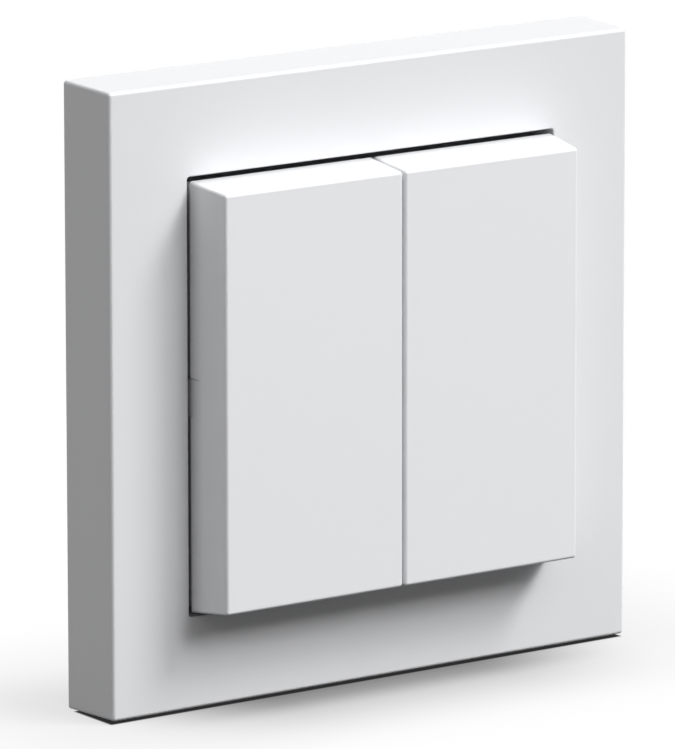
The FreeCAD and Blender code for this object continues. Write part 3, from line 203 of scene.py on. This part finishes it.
# A tree of geometry nodes with named sizes, which ends as a plain mesh on one body
class Pattern(Graph):
    def __init__(self, name, sizes):
        self.tree = bpy.data.node_groups.new(name, "GeometryNodeTree")
        self.sizes = sizes
        face = self.tree.interface
        face.new_socket(name="Geometry", in_out="OUTPUT", socket_type="NodeSocketGeometry")
        kinds = {int: "NodeSocketInt", float: "NodeSocketFloat"}
        self.keys = {}
        for label, value in sizes.items():
            made = face.new_socket(name=label, in_out="INPUT", socket_type=kinds[type(value)])
            self.keys[label] = made.identifier
        self.entry = self.tree.nodes.new("NodeGroupInput")

    def __getitem__(self, label):
        return Flow(self, self.entry.outputs[label])

    def point(self, x=0.0, y=0.0, z=0.0):
        return self.node("ShaderNodeCombineXYZ", {}, {"X": x, "Y": y, "Z": z})

    def row(self, count, start, step):
        # points in a line
        return self.node(
            "GeometryNodeMeshLine", {"mode": "OFFSET"},
            {"Count": count, "Start Location": start, "Offset": step},
        )

    def copies(self, points, shape, scale=(1, 1, 1)):
        values = {"Points": points, "Instance": shape, "Scale": scale}
        return self.node("GeometryNodeInstanceOnPoints", {}, values)

    def joined(self, *shapes):
        join = self.tree.nodes.new("GeometryNodeJoinGeometry")
        for shape in shapes:
            self.tree.links.new(shape.socket, join.inputs[0])
        return Flow(self, join.outputs[0])

    def make(self, name, shape, material, body, slot):
        real = self.node("GeometryNodeRealizeInstances", {}, {"Geometry": shape})
        values = {"Geometry": real, "Material": material}
        dressed = self.node("GeometryNodeSetMaterial", {}, values)
        out = self.tree.nodes.new("NodeGroupOutput")
        self.tree.links.new(dressed.socket, out.inputs["Geometry"])
        piece = addObject(name, bpy.data.meshes.new(name))
        modifier = piece.modifiers.new("pattern", "NODES")
        modifier.node_group = self.tree
        for label, value in self.sizes.items():
            modifier[self.keys[label]] = value
        ready = piece.evaluated_get(bpy.context.evaluated_depsgraph_get())
        mesh = bpy.data.meshes.new_from_object(ready)
        piece.modifiers.remove(modifier)
        piece.data = mesh
        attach(piece, body)
        return piece


broadDetail = 3.0  # of the noise for slow changes of tone
plasticIor = 1.5


# Moulded plastic: a fine grain, slow drift of tone and slightly uneven gloss
def mouldedPlastic(name, look):
    shader = Shader(name)
    drift = shader.noise(look["driftCell"], look["seed"], broadDetail)
    grain = shader.noise(look["grainCell"], look["seed"] + 1)
    patches = shader.noise(look["glossCell"], look["seed"] + 2)
    shade = look["colour"]
    colour = shader.tint(drift, dimmed(shade, 1 - look["drift"]), shade)
    # painted shade: the rocker's walls are darkened towards the frame, where the corner would
    # shade them
    if "dust" in look:
        depth, up = shader.parts(shader.place())[1:]
        paintedCornerShade = look["dust"] * shader.smooth(depth, look["dustFrom"], look["dustBy"])
        colour = shader.tint(paintedCornerShade, colour, look["dustColour"])
        # painted shadow: a thin dark line on the wall along the notch's upper edge
        off = shader.size(up - look["creaseAt"])
        line = 1 - shader.smooth(off, look["creaseCore"], look["creaseHalf"])
        line = line * shader.smooth(depth, look["creaseFrom"], look["creaseBy"])
        colour = shader.tint(look["crease"] * line, colour, look["creaseColour"])
    shader.surface({
        "Base Color": colour,
        "Roughness": shader.ramp(patches, *look["rough"]),
        "Normal": shader.bump(grain, look["grainDepth"]),
        "IOR": plasticIor,
    })
    return shader.host


# The outside first, and then what is behind it
coverLook = {
    "colour": (0.808, 0.815, 0.830),
    "drift": 0.008, "driftCell": 9 * mm,
    "grainCell": 0.09 * mm, "grainDepth": 0.0012 * mm,
    "glossCell": 2.5 * mm, "rough": (0.40, 0.46),
    "seed": 3.0,
}
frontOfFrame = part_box("outer_frame")[0].y
rockerLook = {
    **coverLook,
    "colour": (0.86, 0.867, 0.882),
    "dust": 0.46, "dustColour": (0.25, 0.25, 0.25),  # painted shade on the walls, next to the frame, where the corner keeps light out
    "dustFrom": frontOfFrame - 2.6 * mm, "dustBy": frontOfFrame + 0.3 * mm,
    "crease": 0.5, "creaseColour": (0.1, 0.1, 0.1),  # painted shadow: a dark line along the notch's upper edge
    "creaseAt": 2.5 * mm, "creaseCore": 0.2 * mm / 3, "creaseHalf": 0.2 * mm,
    "creaseFrom": frontOfFrame - 2.3 * mm, "creaseBy": frontOfFrame - 0.4 * mm,
    "seed": 7.0,
}
innerLook = {
    "colour": (0.74, 0.75, 0.755),
    "drift": 0.03, "driftCell": 6 * mm,
    "grainCell": 0.16 * mm, "grainDepth": 0.006 * mm,
    "glossCell": 2.0 * mm, "rough": (0.5, 0.62),
    "seed": 11.0,
}
moduleLook = {
    "colour": (0.30, 0.32, 0.34),
    "drift": 0.05, "driftCell": 5 * mm,
    "grainCell": 0.2 * mm, "grainDepth": 0.01 * mm,
    "glossCell": 1.6 * mm, "rough": (0.48, 0.6),
    "seed": 23.0,
}
darkLook = {
    "colour": (0.26, 0.26, 0.267),
    "drift": 0.08, "driftCell": 5 * mm,
    "grainCell": 0.16 * mm, "grainDepth": 0.006 * mm,
    "glossCell": 2.0 * mm, "rough": (0.5, 0.62),
    "seed": 17.0,
}
siliconeLook = {
    "colour": (0.60, 0.62, 0.63),
    "drift": 0.06, "driftCell": 3 * mm,
    "grainCell": 0.12 * mm, "grainDepth": 0.005 * mm,
    "glossCell": 1.2 * mm, "rough": (0.56, 0.7),
    "seed": 31.0,
}
carbonLook = {
    "colour": (0.05, 0.05, 0.052),
    "drift": 0.3, "driftCell": 0.5 * mm,
    "grainCell": 0.06 * mm, "grainDepth": 0.006 * mm,
    "glossCell": 0.4 * mm, "rough": (0.6, 0.75),
    "seed": 37.0,
}
bobbinLook = {
    "colour": (0.1, 0.1, 0.105),
    "drift": 0.12, "driftCell": 2 * mm,
    "grainCell": 0.1 * mm, "grainDepth": 0.006 * mm,
    "glossCell": 1.0 * mm, "rough": (0.42, 0.55),
    "seed": 41.0,
}

varnishRough = 0.12  # of the enamel on the copper wire


# Metal: slow patches of tone, and drawn or ground lines that run along one axis
def workedMetal(name, look):
    shader = Shader(name)
    patches = shader.noise(look["patchCell"], look["seed"], broadDetail)
    lines = shader.noise(look["lineCell"], look["seed"] + 1)
    shade = look["colour"]
    shader.surface({
        "Base Color": shader.tint(patches, dimmed(shade, 1 - look["patches"]), shade),
        "Metallic": 1.0,
        "Roughness": shader.ramp(lines, *look["rough"]),
        "Normal": shader.bump(lines, look["lineDepth"]),
        "Coat Weight": look.get("varnish", 0.0),
        "Coat Roughness": varnishRough,
    })
    return shader.host


metalLooks = {
    "springSteel": {
        "colour": (0.66, 0.65, 0.63), "patches": 0.12, "patchCell": 2.5 * mm,
        "lineCell": (0.05 * mm, 0.05 * mm, 2 * mm), "lineDepth": 0.002 * mm,
        "rough": (0.24, 0.36), "seed": 51.0,
    },
    "softIron": {
        "colour": (0.48, 0.49, 0.51), "patches": 0.25, "patchCell": 0.9 * mm,
        "lineCell": (0.12 * mm, 0.12 * mm, 0.3 * mm), "lineDepth": 0.004 * mm,
        "rough": (0.42, 0.6), "seed": 53.0,
    },
    "shieldSteel": {
        "colour": (0.72, 0.73, 0.74), "patches": 0.1, "patchCell": 1.6 * mm,
        "lineCell": (1.5 * mm, 0.06 * mm, 0.06 * mm), "lineDepth": 0.0015 * mm,
        "rough": (0.22, 0.34), "seed": 57.0,
    },
    "goldPlate": {
        "colour": (0.83, 0.66, 0.32), "patches": 0.08, "patchCell": 0.6 * mm,
        "lineCell": (0.05 * mm, 0.05 * mm, 0.05 * mm), "lineDepth": 0.001 * mm,
        "rough": (0.2, 0.3), "seed": 59.0,
    },
    "copperWire": {
        "colour": (0.72, 0.36, 0.17), "patches": 0.18, "patchCell": 0.8 * mm,
        "lineCell": (0.2 * mm, 0.2 * mm, 0.08 * mm), "lineDepth": 0.001 * mm,
        "rough": (0.26, 0.38), "varnish": 0.6, "seed": 61.0,
    },
    "magnetGrey": {
        "colour": (0.55, 0.55, 0.55), "patches": 0.15, "patchCell": 0.5 * mm,
        "lineCell": (0.07 * mm, 0.07 * mm, 0.07 * mm), "lineDepth": 0.003 * mm,
        "rough": (0.34, 0.48), "seed": 67.0,
    },
}
metals = {name: workedMetal(name, look) for name, look in metalLooks.items()}

# Circuit board: copper tracks that show under a green mask, and the cut edge of the laminate
boardLook = {
    "mask": (0.035, 0.22, 0.10), "overCopper": (0.06, 0.34, 0.16),
    "edge": (0.62, 0.58, 0.36), "edgeFrom": 18.3 * mm,
    "pitch": 1.27 * mm, "trackShare": 0.11, "trackDepth": 0.03 * mm,
    "run": 5.5 * mm, "leftOut": 0.52, "acrossSeed": 0.3, "upSeed": 7.6,
    "glossCell": 1.5 * mm, "rough": (0.2, 0.32), "seed": 71.0,
}


def boardMask(look):
    shader = Shader("boardGreen")
    across, up = shader.parts(shader.place())[::2]

    def tracks(over, along, seed):
        # lines a pitch apart, each kept or left out run by run
        lanes = over * (1 / look["pitch"])
        line = shader.below(shader.size(shader.maths("FRACT", lanes) - 0.5), look["trackShare"])
        cell = shader.node("ShaderNodeCombineXYZ", {}, {
            "X": shader.maths("FLOOR", lanes),
            "Y": shader.maths("FLOOR", along * (1 / look["run"]) + seed),
        })
        chance = shader.node(
            "ShaderNodeTexWhiteNoise", {"noise_dimensions": "2D"}, {"Vector": cell}
        )
        return line * shader.above(chance, look["leftOut"])

    copper = shader.larger(
        tracks(across, up, look["acrossSeed"]), tracks(up, across, look["upSeed"])
    )
    side = shader.above(shader.larger(shader.size(across), shader.size(up)), look["edgeFrom"])
    green = shader.tint(copper, look["mask"], look["overCopper"])
    shader.surface({
        "Base Color": shader.tint(side, green, look["edge"]),
        "Roughness": shader.ramp(shader.noise(look["glossCell"], look["seed"]), *look["rough"]),
        "Normal": shader.bump(copper, look["trackDepth"]),
    })
    return shader.host


# Moulded chips: matt black with a round dimple that marks the first leg
chipLook = {
    "colour": (0.06, 0.06, 0.062), "dimple": (0.025, 0.025, 0.027),
    "radius": 0.3 * mm, "inset": 0.75 * mm, "sunk": 3,  # in depths of the grain
    "grainCell": 0.05 * mm, "grainDepth": 0.004 * mm,
    "glossCell": 0.6 * mm, "rough": (0.46, 0.62), "seed": 73.0,
}


def chipBody(name, node, look):
    shader = Shader(name)
    low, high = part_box(node)
    mark = (low.x + look["inset"], low.y, high.z - look["inset"])
    dimple = shader.below(shader.away(mark), look["radius"])
    grain = shader.noise(look["grainCell"], look["seed"])
    patches = shader.noise(look["glossCell"], look["seed"] + 1)
    shader.surface({
        "Base Color": shader.tint(dimple, look["colour"], look["dimple"]),
        "Roughness": shader.ramp(patches, *look["rough"]),
        "Normal": shader.bump(grain - dimple * look["sunk"], look["grainDepth"]),
    })
    return shader.host


# Chip resistors: a black body between two tinned ends, one above the other
resistorLook = {
    "colour": (0.05, 0.05, 0.055), "tin": (0.72, 0.73, 0.74),
    "cap": 0.3 * mm, "glossCell": 0.3 * mm, "rough": (0.3, 0.44), "seed": 77.0,
}


def resistorBody(look):
    shader = Shader("resistorBlack")
    low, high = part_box("chip_resistors")
    up = shader.parts(shader.place())[2]
    half = (high.z - low.z) / 2
    end = shader.above(shader.size(up - (low.z + half)), half - look["cap"])
    shader.surface({
        "Base Color": shader.tint(end, look["colour"], look["tin"]),
        "Metallic": end,
        "Roughness": shader.ramp(shader.noise(look["glossCell"], look["seed"]), *look["rough"]),
    })
    return shader.host


# Storage capacitors: bright cans with a dark half moon on the end that marks the minus side
canLook = {
    "colour": (0.74, 0.75, 0.76), "moon": (0.05, 0.05, 0.06),
    "moonFrom": 0.9 * mm, "face": 0.25 * mm,
    "lineCell": (0.4 * mm, 0.04 * mm, 0.4 * mm), "lineDepth": 0.001 * mm,
    "rough": (0.22, 0.34), "seed": 79.0,
}


def canMetal(look):
    shader = Shader("canAluminium")
    low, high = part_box("storage_capacitors")
    across, depth = shader.parts(shader.place())[:2]
    onEnd = shader.below(depth, low.y + look["face"])
    moon = onEnd * shader.above(across, (low.x + high.x) / 2 + look["moonFrom"])
    lines = shader.noise(look["lineCell"], look["seed"])
    shader.surface({
        "Base Color": shader.tint(moon, look["colour"], look["moon"]),
        "Metallic": 1 - moon,
        "Roughness": shader.ramp(lines, *look["rough"]),
        "Normal": shader.bump(lines, look["lineDepth"]),
    })
    return shader.host


finishes = [
    (mouldedPlastic("whiteCover", coverLook), ["outer_frame"]),
    (mouldedPlastic("whiteRocker", rockerLook), ["rocker_left", "rocker_right"]),
    (mouldedPlastic("whiteInner", innerLook), ["wall_plate"]),
    (mouldedPlastic("moduleGrey", moduleLook), ["module_base", "module_cover"]),
    (mouldedPlastic("innerDark", darkLook), ["retaining_frame"]),
    (mouldedPlastic("silicone", siliconeLook), ["contact_mat"]),
    (mouldedPlastic("carbon", carbonLook), ["carbon_pills"]),
    (mouldedPlastic("bobbinBlack", bobbinLook), ["coil_bobbin"]),
    (metals["goldPlate"], ["contact_pads", "coil_terminals"]),
    (metals["shieldSteel"], ["radio_module", "crystal"]),
    (metals["springSteel"], ["energy_bow", "armature_spring", "armature_pin"]),
    (metals["softIron"], ["generator_yoke", "armature", "pole_plate_front", "pole_plate_back"]),
    (metals["magnetGrey"], ["magnets"]),
    (metals["copperWire"], ["antenna_wire"]),
    (boardMask(boardLook), ["circuit_board"]),
    (chipBody("controllerBlack", "microcontroller", chipLook), ["microcontroller"]),
    (chipBody("rectifierBlack", "rectifier", chipLook), ["rectifier"]),
    (resistorBody(resistorLook), ["chip_resistors"]),
    (canMetal(canLook), ["storage_capacitors"]),
]


def paint(piece, material):
    piece.data.materials.clear()
    piece.data.materials.append(material)


for material, names in finishes:
    for name in names:
        paint(nodes[name], material)
print("finishes:", len(finishes))


weldWithin = 1e-7
leastRadius = 0.05 * mm


# Shapes made of closed rings of points, one after another, with a cap at each end
def ringShape(name, stacks):
    vertices, faces = [], []
    for rings in stacks:
        start, count = len(vertices), len(rings[0])
        for ring in rings:
            vertices.extend(ring)
        for row in range(len(rings) - 1):
            first = start + row * count
            for step in range(count):
                here, beside = first + step, first + (step + 1) % count
                faces.append((here, beside, beside + count, here + count))
        last = start + (len(rings) - 1) * count
        faces.append(tuple(range(start + count - 1, start - 1, -1)))
        faces.append(tuple(range(last, last + count)))
    mesh = bpy.data.meshes.new(name)
    mesh.from_pydata(vertices, [], faces)
    tidyNormals(mesh)
    return addObject(name, mesh)


def tidyNormals(mesh):
    work = bmesh.new()
    work.from_mesh(mesh)
    bmesh.ops.remove_doubles(work, verts=work.verts, dist=weldWithin)
    bmesh.ops.recalc_face_normals(work, faces=work.faces)
    work.to_mesh(mesh)
    work.free()


def roundedOutline(low, high, radius, steps=5):
    # corners of a rectangle in x and z, each with an arc, once round
    points = []
    left, right = low[0] + radius, high[0] - radius
    bottom, top = low[1] + radius, high[1] - radius
    middles = [(right, top, 0), (left, top, 90), (left, bottom, 180), (right, bottom, 270)]
    for x, z, first in middles:
        for step in range(steps + 1):
            turn = math.radians(first + 90 * step / steps)
            points.append((x + radius * math.cos(turn), z + radius * math.sin(turn)))
    return points


def slabRings(low, high, radius, profile):
    # one ring for each depth and inset of the profile, from back to front
    rings = []
    for depth, inset in profile:
        first, last = (low[0] + inset, low[1] + inset), (high[0] - inset, high[1] - inset)
        inner = roundedOutline(first, last, max(radius - inset, leastRadius))
        rings.append([(x, -depth, z) for x, z in inner])
    return rings


# Adhesive pads: cut foam tape with a waisted edge, and its release paper, cut down the middle
padLook = {
    "side": 11 * mm, "corner": 0.9 * mm,
    "paper": 0.1 * mm, "paperCut": 0.16 * mm, "paperCorner": 0.3 * mm,
    "foamInset": 0.08 * mm, "waist": 0.1 * mm,
    "backLip": 0.08 * mm, "frontLip": 0.06 * mm, "frontInset": 0.03 * mm,
    "foam": (0.86, 0.84, 0.78), "foamShade": 0.82,
    "foamCell": 0.14 * mm, "foamDepth": 0.03 * mm, "foamRough": (0.8, 0.95),
    "paperColour": (0.80, 0.70, 0.50), "paperShade": 0.9, "paperRough": (0.34, 0.46),
    "paperCell": (0.5 * mm, 0.5 * mm, 0.12 * mm), "paperDetail": 4.0,
    "paperDepth": 0.002 * mm, "seed": 83.0,
}


def padMaterials(look):
    foam = Shader("padFoam")
    cells = foam.node(
        "ShaderNodeTexVoronoi", {"feature": "F1"},
        {"Vector": foam.place((1 / look["foamCell"],) * 3), "Scale": 1.0}, "Distance",
    )
    shade = look["foam"]
    foam.surface({
        "Base Color": foam.tint(cells, shade, dimmed(shade, look["foamShade"])),
        "Roughness": foam.ramp(cells, *look["foamRough"]),
        "Normal": foam.bump(1 - cells, look["foamDepth"]),
    })
    paper = Shader("padPaper")
    fibres = paper.noise(look["paperCell"], look["seed"], look["paperDetail"])
    shade = look["paperColour"]
    paper.surface({
        "Base Color": paper.tint(fibres, dimmed(shade, look["paperShade"]), shade),
        "Roughness": paper.ramp(fibres, *look["paperRough"]),
        "Normal": paper.bump(fibres, look["paperDepth"]),
    })
    return foam.host, paper.host


def makePads(look):
    low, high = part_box("adhesive_pads")
    thick = -low.y
    edge = look["foamInset"]
    foamEdge = [
        (look["paper"], edge), (look["paper"] + look["backLip"], edge),
        (thick / 2, edge + look["waist"]),
        (thick - look["frontLip"], edge), (thick, edge + look["frontInset"]),
    ]
    paperEdge = [(0.0, 0.0), (look["paper"], 0.0)]
    foams, papers = [], []
    for x in (low.x, high.x - look["side"]):
        for z in (low.z, high.z - look["side"]):
            first, last = (x, z), (x + look["side"], z + look["side"])
            foams.append(slabRings(first, last, look["corner"], foamEdge))
            cut, half = x + look["side"] / 2, look["paperCut"] / 2
            papers.append(slabRings(first, (cut - half, last[1]), look["paperCorner"], paperEdge))
            papers.append(slabRings((cut + half, first[1]), last, look["paperCorner"], paperEdge))
    foamSkin, paperSkin = padMaterials(look)
    foam, paper = ringShape("padFoam", foams), ringShape("padPaper", papers)
    paint(foam, foamSkin)
    paint(paper, paperSkin)
    for piece in (foam, paper):
        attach(piece, "housing")
    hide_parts("adhesive_pads")


makePads(padLook)
print("adhesive pads made")

# Winding: round wire in neat turns about the bobbin, two layers deep so that it looks full
windingLook = {
    "Turns": 32, "Layers gap": 0.2 * mm, "Sides": 6,
    "Corner": 1.2 * mm, "Corner steps": 5,
}


def makeWinding(look):
    low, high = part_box("coil_winding")
    wire = (high.z - low.z) / look["Turns"]
    coil = Pattern("coilTurns", {
        "Width": high.x - low.x - wire, "Depth": high.y - low.y - wire,
        "Middle": (low.y + high.y) / 2, "Start": low.z + wire / 2, "Wire": wire, **look,
    })

    def layer(inset, start, turns):
        loop = coil.node(
            "GeometryNodeCurvePrimitiveQuadrilateral", {"mode": "RECTANGLE"},
            {"Width": coil["Width"] - inset * 2, "Height": coil["Depth"] - inset * 2},
        )
        rounded = coil.node(
            "GeometryNodeFilletCurve", {"mode": "POLY"},
            {"Curve": loop, "Count": coil["Corner steps"], "Radius": coil["Corner"]},
        )
        ring = coil.node(
            "GeometryNodeCurvePrimitiveCircle", {"mode": "RADIUS"},
            {"Resolution": coil["Sides"], "Radius": coil["Wire"] / 2},
        )
        tube = coil.node("GeometryNodeCurveToMesh", {}, {"Curve": rounded, "Profile Curve": ring})
        line = coil.row(turns, coil.point(0.0, coil["Middle"], start), coil.point(z=coil["Wire"]))
        return coil.copies(line, tube)

    outer = layer(0.0, coil["Start"], coil["Turns"])
    inner = layer(coil["Layers gap"], coil["Start"] + coil["Wire"] / 2, coil["Turns"] - 1)
    both = coil.joined(outer, inner)
    winding = coil.make("coilWinding", both, metals["copperWire"], "housing", "copper_wire")
    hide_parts("coil_winding")


makeWinding(windingLook)
print("coil wound")

# Solder joints on the board's back: rows of low fillets above and below a part, or at its sides
jointSets = {
    "resistorJoints": {
        "node": "chip_resistors", "upright": False,
        "Count": 8, "Pitch": 2.4 * mm, "Wide": 0.6 * mm,
    },
    "rectifierJoints": {
        "node": "rectifier", "upright": False,
        "Count": 2, "Pitch": 2.4 * mm, "Wide": 0.7 * mm,
    },
    "controllerJoints": {
        "node": "microcontroller", "upright": False,
        "Count": 8, "Pitch": 0.56 * mm, "Wide": 0.28 * mm,
    },
    "controllerSideJoints": {
        "node": "microcontroller", "upright": True,
        "Count": 8, "Pitch": 0.56 * mm, "Wide": 0.28 * mm,
    },
    "radioJoints": {
        "node": "radio_module", "upright": True,
        "Count": 7, "Pitch": 1.1 * mm, "Wide": 0.6 * mm,
    },
}
beadLook = {"Segments": 8, "Rings": 6}
beadHeight = 0.3  # share of its radius


def makeJoints(name, look):
    low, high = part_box(look["node"])
    middle = (low + high) / 2
    rows = Pattern(name, {key: look[key] for key in ("Count", "Pitch", "Wide")})
    bead = rows.node("GeometryNodeMeshUVSphere", {}, {**beadLook, "Radius": rows["Wide"] / 2})
    span = rows["Pitch"] * (rows["Count"] - 1)
    made = []
    for side in (-1, 1):
        if look["upright"]:
            start = rows.point(low.x if side < 0 else high.x, low.y, middle.z - span / 2)
            step = rows.point(z=rows["Pitch"])
        else:
            start = rows.point(middle.x - span / 2, low.y, low.z if side < 0 else high.z)
            step = rows.point(x=rows["Pitch"])
        line = rows.row(rows["Count"], start, step)
        made.append(rows.copies(line, bead, (1, beadHeight, 1)))
    rows.make(name, rows.joined(*made), metals["shieldSteel"], "housing", "shield_steel")


for name, look in jointSets.items():
    makeJoints(name, look)
print("solder joints:", len(jointSets))

# Vias: small plated rings on a grid, at both faces of the board, with a fixed seed for those kept
viaLook = {
    "Across": 20, "Pitch": 1.7 * mm, "Kept": 0.3, "Seed": 7,
    "Radius": 0.26 * mm, "Hole": 0.13 * mm, "Thick": 0.03 * mm, "Sides": 10,
}


def makeVias(look):
    low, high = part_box("circuit_board")
    vias = Pattern("boardVias", look)
    side = vias["Pitch"] * (vias["Across"] - 1)
    count = vias["Across"]
    grid = vias.node(
        "GeometryNodeMeshGrid", {},
        {"Size X": side, "Size Y": side, "Vertices X": count, "Vertices Y": count},
    )
    quarter = (math.radians(90), 0, 0)
    upright = vias.node("GeometryNodeTransform", {}, {"Geometry": grid, "Rotation": quarter})
    chance = vias.node(
        "FunctionNodeRandomValue", {"data_type": "FLOAT"}, {"Seed": vias["Seed"]}, "Value"
    )
    kept = vias.node(
        "GeometryNodeDeleteGeometry", {"domain": "POINT"},
        {"Geometry": upright, "Selection": vias.above(chance, vias["Kept"])},
    )
    ring = vias.node(
        "GeometryNodeCurvePrimitiveCircle", {"mode": "RADIUS"},
        {"Resolution": vias["Sides"], "Radius": vias["Radius"]},
    )
    flat = vias.node(
        "GeometryNodeCurvePrimitiveQuadrilateral", {"mode": "RECTANGLE"},
        {"Width": vias["Radius"] - vias["Hole"], "Height": vias["Thick"]},
    )
    band = vias.node("GeometryNodeCurveToMesh", {}, {"Curve": ring, "Profile Curve": flat})
    stood = vias.node("GeometryNodeTransform", {}, {"Geometry": band, "Rotation": quarter})
    faces = []
    for depth in (low.y, high.y):
        values = {"Geometry": kept, "Translation": (0, depth, 0)}
        faces.append(vias.copies(vias.node("GeometryNodeTransform", {}, values), stood))
    vias.make("boardVias", vias.joined(*faces), metals["goldPlate"], "housing", "gold_plate")


makeVias(viaLook)
print("vias made")

# The table: white, but for painted shade close to the object
tableLook = {
    "top": -40.25 * mm,  # a hair below the object, as the dark line under it shows
    "side": 4.0,
    "colour": 0.9,
    "bounce": 0.02,  # its tone for the light that it throws back at the object
    "whiteFrom": 0.82, "whiteBy": 22 * mm,  # share that is plain white, from the foot outwards
    # each outline is the object's foot, grown on its left, right, front and back
    "foot": (0, 0, 0, 0),
    "underOutline": (-0.6 * mm, -0.35 * mm, -0.85 * mm, -0.85 * mm),
    "aroundOutline": (-4 * mm, 0, 0, 8.5 * mm),
    # painted shade: what is left of the light right under the object, and the shade round the
    # foot and in front of it
    "under": 0.026, "underBy": 0.5 * mm,
    "aroundShade": 0.15, "aroundFrom": -12 * mm, "aroundBy": 36 * mm, "leftMore": 0.15,
    "frontShade": 0.59, "frontFrom": -14 * mm, "frontBy": 26 * mm,
    "closeShade": 0.18, "closeFrom": 2 * mm, "closeBy": 8.6 * mm,
    "endsFrom": 14 * mm, "endsBy": 42 * mm,
}


def makeTable(look):
    mesh = bpy.data.meshes.new("table")
    half = look["side"] / 2
    corners = [(-half, -half), (half, -half), (half, half), (-half, half)]
    mesh.from_pydata([(x, y, look["top"]) for x, y in corners], [], [(0, 1, 2, 3)])
    table = addObject("table", mesh)

    shader = Shader("tableWhite")
    low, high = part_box("outer_frame")
    middle, reach = (low + high) / 2, (high - low) / 2
    place = shader.place()

    def outside(outline):
        # distance on the table from an outline round the foot
        left, right, front, back = look[outline]
        before = shader.vector("SUBTRACT", (low.x - left, low.y - front, 0), place)
        beyond = shader.vector("SUBTRACT", place, (high.x + right, high.y + back, 0))
        furthest = shader.vector("MAXIMUM", shader.vector("MAXIMUM", before, beyond))
        level = shader.vector("MULTIPLY", furthest, (1, 1, 0))
        return shader.vector("LENGTH", level, output="Value")

    away = outside("foot")
    across, depth = shader.parts(shader.vector("SUBTRACT", place, middle))[:2]

    # painted shade: a faint one all round, a little deeper on the left, and a deep one in front
    # of the middle
    wide = shader.smooth(outside("aroundOutline"), look["aroundFrom"], look["aroundBy"])
    around = look["aroundShade"] * (1 - wide)
    around = around * (1 - across * (look["leftMore"] / reach.x))
    ends = 1 - shader.smooth(shader.size(across), look["endsFrom"], look["endsBy"])
    inFront = ends * shader.smooth(0 - depth, 0.0, reach.y)
    near = look["frontShade"] * (1 - shader.smooth(away, look["frontFrom"], look["frontBy"]))
    close = look["closeShade"] * (1 - shader.smooth(away, look["closeFrom"], look["closeBy"]))
    light = 1 - around - (near + close) * inFront
    # and painted shade, with almost none of the light, right under the object
    under = 1 - shader.smooth(outside("underOutline"), 0.0, look["underBy"])
    light = light + under * (look["under"] - light)

    seen = shader.seen()
    whiteness = shader.smooth(away, 0.0, look["whiteBy"])
    whiteness = look["whiteFrom"] + (1 - look["whiteFrom"]) * whiteness
    whiteness = shader.larger(whiteness, under)
    black = (0, 0, 0)
    lit = shader.tint(light, black, (look["colour"],) * 3)
    matt = shader.node(
        "ShaderNodeBsdfDiffuse", {}, {"Color": shader.tint(seen, (look["bounce"],) * 3, lit)}
    )
    white = shader.node(
        "ShaderNodeEmission", {}, {"Color": shader.tint(light, black, (1, 1, 1))}
    )
    mixed = shader.node("ShaderNodeMixShader", {}, {0: whiteness * seen, 1: matt, 2: white})
    shader.finish(mixed)
    paint(table, shader.host)


makeTable(tableLook)

# The room: a plain dim light on things, and white where it is seen
worldLook = {"ambient": 0.156, "colour": (1.0, 0.98, 0.975), "backdrop": (1, 1, 1)}


def makeWorld(look):
    world = bpy.data.worlds.new("studio")
    bpy.context.scene.world = world
    shader = Shader("studio", world)
    room = shader.node(
        "ShaderNodeBackground", {}, {"Color": (*look["colour"], 1), "Strength": look["ambient"]}
    )
    backdrop = shader.node(
        "ShaderNodeBackground", {}, {"Color": (*look["backdrop"], 1), "Strength": 1.0}
    )
    mixed = shader.node("ShaderNodeMixShader", {}, {0: shader.seen(), 1: room, 2: backdrop})
    shader.finish(mixed, "ShaderNodeOutputWorld")


makeWorld(worldLook)
print("table and room made")

# Soft square lamps about the object: power and side are those of a lamp at one metre
lamps = {
    "highFront": {"azimuth": 0, "elevation": 50, "power": 1.04, "side": 0.40},
    "rightFront": {"azimuth": 20, "elevation": 36, "power": 3.73, "side": 0.30},
    "rightKey": {"azimuth": 45, "elevation": 48, "power": 6.27, "side": 0.30},
    "rightFill": {"azimuth": 45, "elevation": 32, "power": 1.41, "side": 0.40},
    "leftFill": {"azimuth": -45, "elevation": 35, "power": 0.76, "side": 0.50},
    "leftWall": {"azimuth": -100, "elevation": 20, "power": 2.07, "side": 1.00},
    "backFill": {"azimuth": 180, "elevation": 3, "power": 3.50, "side": 0.06},
}
lampDistance = 3.0


def makeLamp(name, look):
    # further off it is as much larger and stronger, so that it looks and lights the same
    light = bpy.data.lights.new(name, "AREA")
    light.shape = "SQUARE"
    light.size = look["side"] * lampDistance
    light.energy = look["power"] * lampDistance ** 2
    place = direction(look["azimuth"], look["elevation"]) * lampDistance
    aim(addObject(name, light), place, Vector())


for name, look in lamps.items():
    makeLamp(name, look)
print("lamps:", len(lamps))

# The camera, fitted to the straight edges of the object
cameraLook = {
    "azimuth": -35.22, "elevation": 12.17, "roll": -0.08,
    "distance": 1128.6 * mm, "target": (1.29 * mm, 0, -2.31 * mm),
    "lens": 427.0, "sensor": 36, "clip": (0.05, 20),
}


def makeCamera(look):
    data = bpy.data.cameras.new("photoCamera")
    data.lens = look["lens"]
    data.sensor_width = look["sensor"]
    data.clip_start, data.clip_end = look["clip"]
    camera = addObject("photoCamera", data)
    target = Vector(look["target"])
    aim(camera, target + direction(look["azimuth"], look["elevation"]) * look["distance"], target)
    turn = Matrix.Rotation(math.radians(look["roll"]), 4, "Z").to_quaternion()
    camera.rotation_quaternion = camera.rotation_quaternion @ turn
    bpy.context.scene.camera = camera


makeCamera(cameraLook)
bpy.context.scene.view_settings.view_transform = "Standard"

print("pieces dressed")
